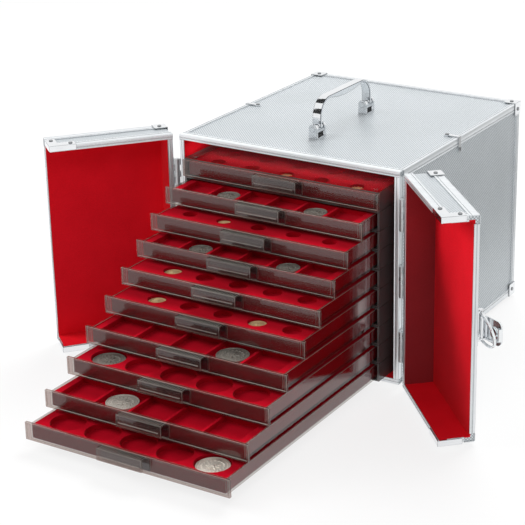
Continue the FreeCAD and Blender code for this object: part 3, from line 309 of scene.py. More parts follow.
def paper_card(name, place, aim, width, height, tone=BLACK_PAPER):
    """A card that faces a point of the case and shows in reflections alone."""
    bpy.ops.object.select_all(action="DESELECT")
    bpy.ops.mesh.primitive_plane_add(size=1.0)
    card = bpy.context.active_object
    card.name = name
    card.scale = (width, height, 1)
    card.location = place
    card.rotation_euler = (Vector(aim) - Vector(place)).to_track_quat("Z", "Y").to_euler()
    paper = Recipe(name, (tone, tone, tone), 0.9)
    weave = paper.noise(paper.place(), 40.0)
    shade = paper.blend(weave, (tone * 0.7,) * 3, (tone * 1.3,) * 3)
    paper.set(paper.surface, {"Base Color": shade})
    card.data.materials.append(paper.material)
    card.visible_camera = card.visible_diffuse = False
    card.visible_shadow = card.visible_transmission = False
    card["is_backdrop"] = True


paper_card("card_above", (-1.15, 0.25, 2.45), (0, -0.08, 0.27), 2.0, 0.4)
paper_card("card_front", (-1.09, -1.98, 1.02), (0, -0.08, 0.27), 0.4, 1.15)
paper_card("card_right", (2.2, -0.9, 1.3), (0, 0, 0.2), 0.9, 0.7)
paper_card("card_left", (-2.4, -0.4, 0.6), (0, 0, 0.25), 0.7, 0.7)
paper_card("card_beside", (0.45, 0.42, 0.004), (0.45, 0.42, 1.0), 0.42, 0.8, GREY_PAPER)
print("four black cards and a grey one")

# %% [markdown]
# ## Finishes
#
# The walls are boards with a thin aluminium-coloured skin, rolled with a close pattern of
# small diamonds. The pattern is a product of two waves that cross at a right angle. Which
# two coordinates it reads depends on the way a face looks, so that the lid, the walls and
# the ends of the door leaves all carry it at the same scale.

# %% Embossed board
DIAMOND_PITCH = 3.3 * MM
DIAMOND_DEPTH = 0.16 * MM
STEEP = 0.6


def board_finish(name, turn=0.0):
    """Embossed skin whose diamonds are turned with the board."""
    recipe = Recipe(name, screen_colour(214, 219, 222), 0.36, 0.55)
    where = recipe.add("SeparateXYZ", {0: recipe.place(turn)})
    x, y, z = where.node.outputs
    facing = recipe.add("SeparateXYZ", {0: recipe.place(turn, source="Normal")})
    steep = [recipe.maths("ABSOLUTE", facing.node.outputs[i]) for i in (0, 2)]
    looks_x, looks_z = (recipe.maths("GREATER_THAN", share, STEEP) for share in steep)
    across = recipe.add("Mix", {0: looks_x, 2: x, 3: y})
    along = recipe.add("Mix", {0: looks_z, 2: z, 3: y})
    waves = []
    for operation in ("ADD", "SUBTRACT"):
        slant = recipe.maths("MULTIPLY", recipe.maths(operation, across, along),
                             math.pi / DIAMOND_PITCH)
        waves.append(recipe.maths("ABSOLUTE", recipe.maths("SINE", slant)))
    stud = recipe.maths("MULTIPLY", *waves)
    patches = recipe.noise(recipe.place(turn), 18.0, 4.0)
    worn = recipe.blend(recipe.ramp(patches, 0.35, 0.7),
                        screen_colour(216, 221, 224), screen_colour(226, 230, 233))
    # The valleys between the diamonds are painted darker: painted shade in the grooves of the
    # emboss.
    valley_painted_shade = recipe.blend(recipe.ramp(stud, 0.05, 0.5), screen_colour(142, 151, 157), worn)
    recipe.set(recipe.surface, {"Base Color": valley_painted_shade,
                                "Roughness": recipe.ramp(patches, 0.3, 0.7, 0.3, 0.44)})
    recipe.bump(stud, DIAMOND_DEPTH, 0.8)
    return recipe.material


print("diamonds %.1f mm apart, %.2f mm deep" % (DIAMOND_PITCH / MM, DIAMOND_DEPTH / MM))

# %% [markdown]
# The rails are drawn aluminium profiles. Drawing leaves faint lines along the profile, so
# the noise is stretched along the way that each rail runs.

# %% Drawn aluminium
LINES_ACROSS = 700.0
LINES_ALONG = 6.0


def rail_finish(name, axis, turn=0.0, dark=224, bright=238):
    """Aluminium drawn along one axis, between a dark and a bright grey."""
    recipe = Recipe(name, screen_colour(232, 235, 237), 0.3, 0.7)
    stretch = [LINES_ACROSS] * 3
    stretch[axis] = LINES_ALONG
    lines = recipe.noise(recipe.place(turn, stretch), 1.0, 2.0)
    cloud = recipe.noise(recipe.place(turn), 30.0)
    tone = recipe.blend(recipe.ramp(lines, 0.3, 0.7), screen_colour(dark, dark + 4, dark + 7),
                        screen_colour(bright, bright + 3, bright + 5))
    recipe.set(recipe.surface, {"Base Color": tone,
                                "Roughness": recipe.ramp(cloud, 0.3, 0.7, 0.28, 0.38)})
    recipe.bump(lines, 0.004 * MM, 0.5)
    return recipe.material


print("drawing lines %.0f times longer than wide" % (LINES_ACROSS / LINES_ALONG))

# %% [markdown]
# The handle, the latch and the caps are plated steel, and the coins are struck metal. All of
# them are smooth with a little wear: a cloudy smear changes tone and gloss, and a very fine
# grain breaks the mirror. One helper serves them, with a colour and a roughness for each.

# %% Polished and plated metal
WORN_SHARE = 0.55


def plated_finish(name, colour, roughness, wear=0.1, metallic=1.0):
    """Metal with a cloudy smear; wear says how far the smear darkens it."""
    recipe = Recipe(name, colour, roughness, metallic)
    smear = recipe.noise(recipe.place(), 60.0, 4.0)
    grain = recipe.noise(recipe.place(), 900.0, 2.0)
    tone = recipe.blend(recipe.ramp(smear, 0.4, 0.75, 0.0, wear),
                        colour, tuple(c * WORN_SHARE for c in colour))
    gloss = recipe.ramp(smear, 0.3, 0.7, roughness * 0.6, roughness * 1.6)
    recipe.set(recipe.surface, {"Base Color": tone, "Roughness": gloss})
    recipe.bump(grain, 0.002 * MM, 0.4)
    return recipe.material


CHROME = screen_colour(238, 240, 242)
print("chrome colour:", [round(share, 2) for share in CHROME])

# %% [markdown]
# Felt and flock are short standing fibres. They look darker along the line of sight and
# lighter at a flat angle, which the sheen gives, and they are never quite even: patches
# lie brushed one way or another, and single fibres make a fine grain.

# %% Felt and flock
PATCH_SHARE = 0.35


def fibre_finish(name, deep, bright, grain_scale, depth):
    """Short fibres between a deep and a bright colour."""
    recipe = Recipe(name, bright, 0.95, 0.0, Sheen_Weight=0.12, Sheen_Roughness=0.35,
                    Sheen_Tint=(1.0, 0.3, 0.3, 1), Specular_IOR_Level=0.05)
    patches = recipe.noise(recipe.place(), 12.0, 4.0, 0.6)
    fibres = recipe.noise(recipe.place(), grain_scale, 3.0, 0.7)
    tone = recipe.maths("ADD", recipe.maths("MULTIPLY", patches, PATCH_SHARE),
                        recipe.maths("MULTIPLY", fibres, 1 - PATCH_SHARE))
    colour = recipe.blend(recipe.ramp(tone, 0.3, 0.6), deep, bright)
    recipe.set(recipe.surface, {"Base Color": colour})
    recipe.bump(fibres, depth, 0.7)
    return recipe.material


print("share of the brushed patches:", PATCH_SHARE)

# %% [markdown]
# The boxes and drawers are moulded in smoke-coloured clear plastic. A thin wall lets most
# light through, the thick front panel less than half, and both mirror the white floor. A mix
# of tinted see-through and gloss gives this without the noise of real refraction. The share
# of gloss rises at a flat angle, in the same way on the outer and the inner face of a wall.
# The tint is set for one face, and light crosses two in each wall. Moulded edges gather light
# and look milky and warm, so they get a pale milky finish of their own: painted light along the
# edges.

# %% Smoke plastic
PLASTIC_MIRROR = 0.1


def smoke_finish(name, tint, milk, milk_share, gloss_share=1.0):
    """Clear plastic with a tint for each face, some milk in it and a mirror on it."""
    recipe = Recipe(name, milk, 0.3)
    clear = recipe.add("BsdfTransparent", {"Color": (*tint, 1)})
    flow = recipe.noise(recipe.place(scale=(20, 20, 60)), 1.0, 2.0)
    body = recipe.add("MixShader", {0: milk_share, 1: clear, 2: recipe.surface.outputs[0]})
    ripple = recipe.ramp(flow, 0.3, 0.7, 0.03, 0.09)
    gloss = recipe.add("BsdfAnisotropic", {"Roughness": ripple})
    facing = recipe.add("LayerWeight", {"Blend": 0.5}, output="Facing")
    slant = recipe.maths("POWER", facing, 5.0)
    mirror = recipe.ramp(slant, 0.0, 1.0, PLASTIC_MIRROR * gloss_share, gloss_share)
    recipe.set(recipe.tree.nodes["Material Output"],
               {"Surface": recipe.add("MixShader", {0: mirror, 1: body, 2: gloss})})
    return recipe.material


SMOKE_THIN = smoke_finish("smoke_thin_wall", (0.82, 0.80, 0.785), (0.12, 0.11, 0.11), 0.03)
# The warm milk of the front panel is partly the plastic's own haze and partly painted light:
# the red of the felt that the panel takes up.
SMOKE_THICK = smoke_finish("smoke_front_panel",
                           (0.70, 0.63, 0.61), (0.27, 0.20, 0.19), 0.07, 0.65)
# Painted shade: a dark, dense copy of the plastic for the walls below the uppermost box.
SMOKE_WALL_PAINTED_SHADE = smoke_finish("smoke_wall_painted_shade", (0.36, 0.33, 0.33), (0.17, 0.16, 0.16), 0.5)
SMOKE_SHELF = smoke_finish("smoke_pull_shelf",
                           (0.38, 0.36, 0.35), (0.04, 0.04, 0.037), 0.45, 0.38)
# Painted light: a pale, warm milk on the rounded edges of the plastic.
SMOKE_EDGE_PAINTED_LIGHT = smoke_finish("smoke_edge_painted_light", (0.72, 0.66, 0.62), (0.62, 0.57, 0.50), 0.5)
print("smoke plastics: 5, mirror share", PLASTIC_MIRROR)

# %% [markdown]
# The feet are black rubber with a fine matt grain.

# %% Rubber


def rubber_finish(name):
    """Matt black rubber."""
    recipe = Recipe(name, (0.02, 0.02, 0.022), 0.75)
    grain = recipe.noise(recipe.place(), 700.0, 3.0)
    colour = recipe.blend(grain, (0.014, 0.014, 0.015), (0.035, 0.035, 0.037))
    recipe.set(recipe.surface, {"Base Color": colour})
    recipe.bump(grain, 0.05 * MM)
    return recipe.material


BLACK_RUBBER = rubber_finish("black_rubber")
print("rubber for the feet:", BLACK_RUBBER.name)

# %% [markdown]
# Each material slot of the record gets its finish. The leaves stand open, turned about their
# hinges, so their boards and rails have finishes of their own whose pattern is turned with
# them. A rail's finish is made for each of the three ways that it can run. The front frame gets
# lighter greys than the other rails, painted light that makes it the brightest metal. Some
# silver coins get a darker silver: painted shade on the coins that lie in the shade of the
# drawers above.

# %% Finishes by slot
RIGHT_TURN = math.radians(-133.0)
LEFT_TURN = math.radians(130.0)
FELT_GRAIN = 1400.0
FELT_NAP = 0.25 * MM
FINISHES = {
    "textured_board": board_finish("embossed_board"),
    "edge_aluminium": rail_finish("drawn_aluminium", 1),
    "fitting_chrome": plated_finish("polished_chrome", CHROME, 0.08),
    "hinge_steel": plated_finish("plated_hinge_steel", screen_colour(206, 209, 211),
                                 0.34, 0.3, 0.7),
    "lining_felt": fibre_finish("red_felt", screen_colour(206, 14, 26),
                                screen_colour(242, 26, 42), FELT_GRAIN, FELT_NAP),
    "flock_insert": fibre_finish("red_flock", screen_colour(140, 4, 18),
                                 screen_colour(186, 10, 34), 2200.0, 0.15 * MM),
    "smoke_plastic": SMOKE_THIN,
    "foot_rubber": BLACK_RUBBER,
    "coin_silver": plated_finish("coin_silver", screen_colour(246, 240, 228), 0.34, 0.4, 0.4),
    "coin_brass": plated_finish("coin_brass", screen_colour(236, 212, 166), 0.34, 0.5, 0.4),
}
# Painted shade: a darker felt for the shaded wall beside the right leaf's hinges.
PAINTED_SHADE_FELT = fibre_finish("red_felt_painted_shade", screen_colour(124, 34, 38),
                        screen_colour(150, 44, 50), FELT_GRAIN, FELT_NAP)


def rail_ways(word, turn=0.0, **greys):
    """One rail finish for each axis that a rail can run along."""
    return [rail_finish("drawn_aluminium_%s_%s" % (word, way), axis, turn, **greys)
            for axis, way in enumerate("xyz")]


# The front frame's lighter greys are painted light: the same drawn aluminium as the other
# rails, made brighter.
RAIL_WAYS = {"front": rail_ways("front", dark=243, bright=249), "case": rail_ways("case"),
             "left": rail_ways("left", LEFT_TURN), "right": rail_ways("right", RIGHT_TURN)}
BOARD_TURNS = {"left_door_boards": board_finish("embossed_left_leaf", LEFT_TURN),
               "right_door_boards": board_finish("embossed_right_leaf", RIGHT_TURN)}
# Darker greys for rounded edges: painted shade on rails and caps, painted reflections on the
# handle, the latch and the brackets.
EDGE_PAINTED_SHADE = plated_finish("edge_painted_shade", screen_colour(150, 156, 160), 0.45, 0.3, 0.5)
CHROME_EDGE_PAINTED_REFLECTION = plated_finish("chrome_edge_painted_reflection", screen_colour(96, 101, 106), 0.12, 0.3)
POST_EDGE_PAINTED_REFLECTION = plated_finish("post_edge_painted_reflection", screen_colour(52, 55, 58), 0.4, 0.3, 0.5)
HEAD_STEEL = plated_finish("rivet_head_steel", screen_colour(150, 152, 154), 0.22, 0.3)
# Painted shade: darker silvers for the coins of drawers 2, 4, 7 and 8, and a little darker for
# drawer 9.
SILVER_IN_PAINTED_SHADE = plated_finish("coin_silver_painted_shade", screen_colour(150, 146, 138), 0.3, 0.6, 0.4)
SILVER_IN_PAINTED_HALF_SHADE = plated_finish("coin_silver_painted_half_shade", screen_colour(196, 191, 182), 0.34, 0.5, 0.4)
COIN_PAINTED_SHADES = {2: SILVER_IN_PAINTED_SHADE, 4: SILVER_IN_PAINTED_SHADE, 7: SILVER_IN_PAINTED_SHADE, 8: SILVER_IN_PAINTED_SHADE,
              9: SILVER_IN_PAINTED_HALF_SHADE}
for node, thing in frame["nodes"].items():
    thing.data.materials.clear()
    thing.data.materials.append(FINISHES[SLOT_OF[node]])
print("slots with a finish:", len(FINISHES))

# %% [markdown]
# ## Rounded edges
#
# Sheet metal, boards and mouldings have no knife-sharp edges: each one is a narrow round
# that catches a line of light. The CAD solids arrive as loose triangles with sharp corners.
# So each one is copied, its doubles are merged, its flat faces are joined up again, and a
# bevel rounds whatever is sharper than about 30 degrees. Large faces then lead the shading
# of their narrow neighbours, so that they stay flat. The copy takes the node's place. Where
# the rounded edges have a finish of their own, it is the second one of the piece.

# %% A rounded copy of a CAD node
SHARP = math.radians(30)
FLATTENING = 100
EDGE = 1
LEVEL = math.radians(0.3)
WELD = 0.002 * MM


def only(thing):
    """Select one object and make it the active one."""
    bpy.ops.object.select_all(action="DESELECT")
    thing.select_set(True)
    bpy.context.view_layer.objects.active = thing


def settle(piece, body):
    """Hand a finished piece to its body."""
    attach(piece, body)
    return piece


def joined_faces(piece, dissolve=True):
    """Merge doubles and dissolve the triangle edges of flat faces."""
    only(piece)
    bpy.ops.object.mode_set(mode="EDIT")
    bpy.ops.mesh.select_all(action="SELECT")
    bpy.ops.mesh.remove_doubles(threshold=WELD)
    if dissolve:
        bpy.ops.mesh.dissolve_limited(angle_limit=LEVEL)
    bpy.ops.mesh.select_all(action="DESELECT")
    bpy.ops.object.mode_set(mode="OBJECT")


def bevelled(piece, width, segments=2, edge_material=-1):
    """Round the sharp edges of a piece and shade it smooth between them."""
    only(piece)
    if width:
        bevel = piece.modifiers.new("round", "BEVEL")
        bevel.width, bevel.segments = width, segments
        bevel.limit_method, bevel.angle_limit = "ANGLE", SHARP
        bevel.material = edge_material
        bpy.ops.object.modifier_apply(modifier="round")
    bpy.ops.object.shade_smooth_by_angle(angle=SHARP)
    flat = piece.modifiers.new("flat", "WEIGHTED_NORMAL")
    flat.weight, flat.keep_sharp = FLATTENING, True
    bpy.ops.object.modifier_apply(modifier="flat")


def rounded_copy(node, width, segments=2, materials=None, edge_material=-1, dissolve=True):
    """A copy of a CAD node with rounded edges that stands for it."""
    piece = bpy.data.objects.new(node + "_rounded", frame["nodes"][node].data.copy())
    bpy.context.scene.collection.objects.link(piece)
    piece.data.materials.clear()
    for material in materials or [FINISHES[SLOT_OF[node]]]:
        piece.data.materials.append(material)
    joined_faces(piece, dissolve)
    bevelled(piece, width, segments, edge_material)
    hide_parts(node)
    return settle(piece, BODY_OF[node])


print("edges sharper than %.0f degrees are rounded" % math.degrees(SHARP))

# %% [markdown]
# The turned edges of polished steel would mirror whatever stands beside the case and look dark,
# so on the handle and the latch their rounded edges get a darker grey, darkest on the brackets:
# a painted reflection. Caps and clips are pressed from thin sheet, with one narrow line of
# painted shade along each edge. The rails cover the edges of the leaf boards and of the leaf
# linings, so those four pieces need no rounding.

# %% Round the boards, fittings, lining and hinges
EDGE_ROUND = {"textured_board": 0.3 * MM, "fitting_chrome": 0.22 * MM, "hinge_steel": 0.2 * MM,
              "lining_felt": 0.25 * MM, "foot_rubber": 0.7 * MM}
COVERED = ("left_door_lining", "right_door_lining", "left_door_boards", "right_door_boards")
CHROME_ROUND = {"handle_bow": 0.9 * MM, "handle_brackets": 0.7 * MM, "latch_lever": 0.4 * MM,
                "latch_plate": 0.35 * MM, "keeper": 0.35 * MM}
SHEET_CAPS = ("left_door_caps", "right_door_caps", "rear_corner_caps", "edge_clips",
              "case_rivets")
SHEET_ROUND = 0.25 * MM
rounded = {}
for node, slot in SLOT_OF.items():
    if slot in EDGE_ROUND and node != "latch_bail":
        finish = BOARD_TURNS.get(node, FINISHES[slot])
        if node in CHROME_ROUND:
            edge = POST_EDGE_PAINTED_REFLECTION if node == "handle_brackets" else CHROME_EDGE_PAINTED_REFLECTION
            rounded[node] = rounded_copy(node, CHROME_ROUND[node], 2, [finish, edge], EDGE)
        elif node in SHEET_CAPS:
            rounded[node] = rounded_copy(node, SHEET_ROUND, 1, [finish, EDGE_PAINTED_SHADE], EDGE)
        else:
            covered = node in COVERED
            width = 0 if covered else EDGE_ROUND[slot]
            rounded[node] = rounded_copy(node, width, materials=[finish],
                                         dissolve=not covered)
print("rounded copies:", len(rounded))

# %% [markdown]
# Some finishes depend on which solid of a node a face belongs to: rivet heads are darker
# than the caps they hold, and a rail is drawn along its own length. So the faces of a piece
# are gathered into groups that hang together.

# %% Groups of connected faces


def face_groups(piece):
    """Lists of the faces of a piece that hang together."""
    mesh = piece.data
    leader = list(range(len(mesh.vertices)))

    def lead(index):
        while leader[index] != index:
            leader[index] = leader[leader[index]]
            index = leader[index]
        return index

    for edge in mesh.edges:
        leader[lead(edge.vertices[0])] = lead(edge.vertices[1])
    groups = {}
    for face in mesh.polygons:
        groups.setdefault(lead(face.vertices[0]), []).append(face)
    return list(groups.values())


def reach(piece, faces, turn=0.0):
    """Lowest and highest corner of some faces, in axes turned about the vertical."""
    level = Matrix.Rotation(turn, 3, "Z")
    points = [level @ piece.data.vertices[index].co
              for face in faces for index in face.vertices]
    return (Vector([min(point[i] for point in points) for i in range(3)]),
            Vector([max(point[i] for point in points) for i in range(3)]))


print("groups in the left leaf's caps:", len(face_groups(rounded["left_door_caps"])))

# %% [markdown]
# Rivet heads are the only solids of these three nodes that are less than 9 mm across, so
# their size picks them out. They are of darker steel than the caps.

# %% Darker rivet heads
RIVET_SIZE = 9 * MM
heads = 0
for node in ("left_door_caps", "right_door_caps", "case_rivets"):
    cap = rounded[node]
    cap.data.materials.append(HEAD_STEEL)
    head_index = len(cap.data.materials) - 1
    for faces in face_groups(cap):
        low, high = reach(cap, faces)
        if max(high - low) < RIVET_SIZE:
            heads += 1
            for face in faces:
                face.material_index = head_index
print("rivet heads:", heads)

# %% [markdown]
# The rails are extruded profiles with a shallow channel along each face, and the channel edges
# draw the crisp lines that run around the case. Each large face of a rail is inset and sunk a
# little. The bevel that follows rounds the channel as well, and its narrow faces get a darker
# grey: painted shade that draws those lines along the channels and the edges.

# %% Rails with channels
CHANNEL_BORDER = 1.3 * MM
CHANNEL_DEPTH = 0.35 * MM
CHANNEL_AREA = 6 * MM * 60 * MM
CHANNEL_ROUND = 0.28 * MM


def channel_rails(node, turn_name, turn):
    """Copy a set of rails and sink a channel into each of its large faces."""
    rail = bpy.data.objects.new(node + "_channelled", frame["nodes"][node].data.copy())
    bpy.context.scene.collection.objects.link(rail)
    rail.data.materials.clear()
    for material in [*RAIL_WAYS[turn_name], EDGE_PAINTED_SHADE]:
        rail.data.materials.append(material)
    joined_faces(rail)
    for faces in face_groups(rail):
        low, high = reach(rail, faces, turn)
        size = high - low
        longest = max(range(3), key=lambda i: size[i])
        for face in faces:
            face.material_index = longest
            face.select = face.area > CHANNEL_AREA
    only(rail)
    bpy.ops.object.mode_set(mode="EDIT")
    bpy.ops.mesh.select_mode(type="FACE")
    bpy.ops.mesh.inset(thickness=CHANNEL_BORDER, depth=-CHANNEL_DEPTH, use_individual=True)
    bpy.ops.object.mode_set(mode="OBJECT")
    bevelled(rail, CHANNEL_ROUND, 1, edge_material=len(RAIL_WAYS[turn_name]))
    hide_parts(node)
    settle(rail, BODY_OF[node])


for node, turn_name, turn in (("case_edge_rails", "case", 0.0),
                              ("front_frame", "front", 0.0),
                              ("left_door_rails", "left", LEFT_TURN),
                              ("right_door_rails", "right", RIGHT_TURN)):
    channel_rails(node, turn_name, turn)
print("channels: %.2f mm deep" % (CHANNEL_DEPTH / MM))

# %% [markdown]
# On the right leaf's lining, the narrow wall beside the hinges gets a darker maroon felt. It is
# painted shade: that wall lies in the shade of its own leaf.

# %% The side wall with painted shade
side_lining = rounded["right_door_lining"]
side_lining.data.materials.append(PAINTED_SHADE_FELT)
dark_index = len(side_lining.data.materials) - 1
SHEET_AREA = 10 * MM * 100 * MM
SAME_WAY = 0.95
free_edge_way = math.pi - RIGHT_TURN
toward_free_edge = Vector((math.cos(free_edge_way), math.sin(free_edge_way), 0))
painted_shade_area = 0.0
for face in side_lining.data.polygons:
    if face.normal.dot(toward_free_edge) > SAME_WAY and face.area > SHEET_AREA:
        face.material_index = dark_index
        painted_shade_area += face.area
print("brushed wall: %.0f square cm" % (painted_shade_area * 1e4))

# %% [markdown]
# The bail of the latch is a closed ring of wire. Its straight side turns in the lugs of the
# lever, and its oval side hooks over the keeper. A torus gives the ring: the half that lies
# at the lever is straightened, and the other half is stretched to the length of the bail.

# %% The bail ring
WIRE = 1.4 * MM
TORUS_WIRE = 0.1
SHORT_OF_CORNER = 1.6 * WIRE
bail_low, bail_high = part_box("latch_bail")
pin = Vector(next(joint["pos_m"] for joint in frame["record"]["behaviour"]["joints"]
                  if joint["name"] == "bail_swing"))
corners = [corner.co for corner in frame["nodes"]["latch_bail"].data.vertices]
away = max(((corner - pin) * Vector((1, 1, 0)) for corner in corners),
           key=lambda step: step.length)
half_height = (bail_high.z - bail_low.z) / 2 - WIRE
length = away.length - SHORT_OF_CORNER
out = away.normalized()
flat = out.cross(Vector((0, 0, 1)))
middle = Vector((pin.x, pin.y, (bail_low.z + bail_high.z) / 2))
bpy.ops.object.select_all(action="DESELECT")
bpy.ops.mesh.primitive_torus_add(major_radius=1.0, minor_radius=TORUS_WIRE,
                                 major_segments=64, minor_segments=12)
bail = bpy.context.active_object
bail.name = "bail_ring"
for corner in bail.data.vertices:
    x, y, z = corner.co
    angle = math.atan2(y, x)
    spread, lift = (math.hypot(x, y) - 1.0) * WIRE / TORUS_WIRE, z * WIRE / TORUS_WIRE
    along, rise = length * max(math.cos(angle), 0), half_height * math.sin(angle)
    if math.cos(angle) < 0:
        normal = Vector((-1, 0))
    else:
        normal = Vector((math.cos(angle) / length, math.sin(angle) / half_height)).normalized()
    along, rise = along + normal.x * spread, rise + normal.y * spread
    corner.co = middle + out * along + flat * lift + Vector((0, 0, rise))
only(bail)
bpy.ops.object.mode_set(mode="EDIT")
bpy.ops.mesh.select_all(action="SELECT")
bpy.ops.mesh.normals_make_consistent(inside=False)
bpy.ops.object.mode_set(mode="OBJECT")
bail.data.materials.append(FINISHES["fitting_chrome"])
bpy.ops.object.shade_smooth_by_angle(angle=SHARP)
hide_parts("latch_bail")
settle(bail, BODY_OF["latch_bail"])
print("bail ring %.1f mm long" % (length / MM))

# %% [markdown]
# The inserts are vacuum-formed sheets with a flocked skin, so every rim is soft. Six
# layouts serve ten drawers. Where a layout returns, its finished sheet is copied.

# %% Flocked inserts
FLOCK_ROUND = 0.7 * MM
SAME_LAYOUT = {4: 2, 6: 5, 9: 7, 10: 8}
inserts = {}
for number in range(1, 11):
    node = "drawer_%02d_insert" % number
    if number not in SAME_LAYOUT:
        inserts[number] = rounded_copy(node, FLOCK_ROUND, dissolve=False)
        continue
    model = inserts[SAME_LAYOUT[number]]
    sheet = bpy.data.objects.new(node + "_rounded", model.data.copy())
    bpy.context.scene.collection.objects.link(sheet)
    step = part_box(node)[0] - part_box("drawer_%02d_insert" % SAME_LAYOUT[number])[0]
    only(sheet)
    bpy.ops.object.mode_set(mode="EDIT")
    bpy.ops.mesh.select_all(action="SELECT")
    bpy.ops.transform.translate(value=step)
    bpy.ops.object.mode_set(mode="OBJECT")
    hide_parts(node)
    inserts[number] = settle(sheet, BODY_OF[node])
print("inserts:", len(inserts))

# %% [markdown]
# A coin is a struck disc: a raised rim with a ring of beads inside it, a sunk field, and a
# figure in relief. These coins carry a plain figure only: a many-pointed star in a ring of
# leaves. The leaves point outward on the brass coins and run around the star on the silver
# ones. One coin is modelled for each metal, as a pattern for all coins in the drawers.

# %% Struck coins
COIN_SIDES = 72
COIN_THICKNESS = 0.14
RIM_WIDTH = 0.06
RIM_SLOPE = 0.02
FIELD_SUNK = 0.035
UPWARD = 0.9
BEADS = 40
BEAD_CIRCLE = 0.84
BEAD_SIZE = 0.032
LEAF_CIRCLE = 0.64
LEAF_SIZE = 0.075
LEAF_SLANT = math.radians(35)


def relief_figure(points, inner, outer, height, base):
    """A star that stands on the field: its corners are pulled in and out by turns."""
    bpy.ops.object.select_all(action="DESELECT")
    bpy.ops.mesh.primitive_circle_add(vertices=2 * points, radius=outer, fill_type="NGON",
                                      location=(0, 0, base))
    figure = bpy.context.active_object
    bpy.ops.object.transform_apply(location=True)
    for index, corner in enumerate(figure.data.vertices):
        if index % 2:
            corner.co.x *= inner / outer
            corner.co.y *= inner / outer
    bpy.ops.object.mode_set(mode="EDIT")
    bpy.ops.mesh.select_all(action="SELECT")
    bpy.ops.mesh.extrude_region_move(TRANSFORM_OT_translate={"value": (0, 0, height)})
    bpy.ops.mesh.inset(thickness=0.05 * outer, depth=height / 2)
    bpy.ops.object.mode_set(mode="OBJECT")
    return figure


def struck_coin(points, leaf_scale):
    """A coin of radius 1 with relief on its upper face."""
    bpy.ops.object.select_all(action="DESELECT")
    bpy.ops.mesh.primitive_cylinder_add(vertices=COIN_SIDES, radius=1.0, depth=COIN_THICKNESS)
    coin = bpy.context.active_object
    for face in coin.data.polygons:
        face.select = face.normal.z > UPWARD
    bpy.ops.object.mode_set(mode="EDIT")
    bpy.ops.mesh.select_mode(type="FACE")
    bpy.ops.mesh.inset(thickness=RIM_WIDTH)
    bpy.ops.mesh.inset(thickness=RIM_SLOPE, depth=-FIELD_SUNK)
    bpy.ops.object.mode_set(mode="OBJECT")
    field = COIN_THICKNESS / 2 - FIELD_SUNK
    parts = [coin, relief_figure(points, 0.24, 0.46, 0.03, field),
             relief_figure(points // 2, 0.1, 0.2, 0.05, field)]

    def on_circle(radius, angle):
        return (radius * math.cos(angle), radius * math.sin(angle), field)

    for index in range(BEADS):
        angle = 2 * math.pi * index / BEADS
        bpy.ops.mesh.primitive_uv_sphere_add(segments=8, ring_count=5, radius=BEAD_SIZE,
                                             location=on_circle(BEAD_CIRCLE, angle))
        parts.append(bpy.context.active_object)
    for index in range(2 * points):
        angle = 2 * math.pi * index / (2 * points)
        bpy.ops.mesh.primitive_uv_sphere_add(segments=10, ring_count=6, radius=LEAF_SIZE,
                                             location=on_circle(LEAF_CIRCLE, angle))
        leaf = bpy.context.active_object
        leaf.scale = leaf_scale
        leaf.rotation_euler.z = angle + LEAF_SLANT
        parts.append(leaf)
    bpy.ops.object.select_all(action="DESELECT")
    for part in parts:
        part.select_set(True)
    bpy.context.view_layer.objects.active = coin
    bpy.ops.object.join()
    bpy.ops.object.transform_apply(location=True, rotation=True, scale=True)
    return coin


patterns = {"coin_silver": struck_coin(9, (0.6, 1.3, 0.5)),
            "coin_brass": struck_coin(8, (1.5, 0.5, 0.5))}
print("coin patterns:", {slot: len(coin.data.polygons) for slot, coin in patterns.items()})

# %% [markdown]
# Each CAD coin gives its place and size to a copy of the pattern. Every copy is turned to
# another angle, because loose coins never lie all one way.

# %% Coins in the drawers
COIN_ROUND = 0.12 * MM
DEGREES_A_DRAWER = 23
DEGREES_A_COIN = 61
coin_count = 0
for number in range(1, 11):
    node = "drawer_%02d_coins" % number
    blank = bpy.data.objects.new("blank", frame["nodes"][node].data.copy())
    bpy.context.scene.collection.objects.link(blank)
    joined_faces(blank)
    struck = []
    for faces in face_groups(blank):
        low, high = reach(blank, faces)
        width = (high.x - low.x) / 2
        coin = bpy.data.objects.new(node + "_struck", patterns[SLOT_OF[node]].data.copy())
        bpy.context.scene.collection.objects.link(coin)
        only(coin)
        coin.scale = (width, width, (high.z - low.z) / COIN_THICKNESS)
        coin.location = (low + high) / 2
        coin.rotation_euler.z = math.radians(DEGREES_A_DRAWER * number
                                             + DEGREES_A_COIN * len(struck))
        bpy.ops.object.transform_apply(location=True, rotation=True, scale=True)
        struck.append(coin)
    bpy.data.objects.remove(blank)
    bpy.ops.object.select_all(action="DESELECT")
    for coin in struck:
        coin.select_set(True)
    bpy.context.view_layer.objects.active = struck[0]
    if len(struck) > 1:
        bpy.ops.object.join()
    coin_count += len(struck)
    struck[0].data.materials.clear()
    struck[0].data.materials.append(COIN_PAINTED_SHADES.get(number, FINISHES[SLOT_OF[node]]))
    bevelled(struck[0], COIN_ROUND, 1)
    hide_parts(node)
    settle(struck[0], BODY_OF[node])
for pattern in patterns.values():
    bpy.data.objects.remove(pattern)
print("coins:", coin_count)

# %% [markdown]
# The plastic parts get the milky finish of painted light on their rounded edges, and a darker,
# warmer one on the thick front panel, whose warmth is partly painted felt light. Which faces
# belong to the panel is read from their place: the panel is the foremost slab of each tray. The
# upper face of the pull is darker still. Only the uppermost box is seen through from above.
# Below it, light has to cross many walls, so those walls are nearly black: they get a dense,
# dark finish that is painted shade.

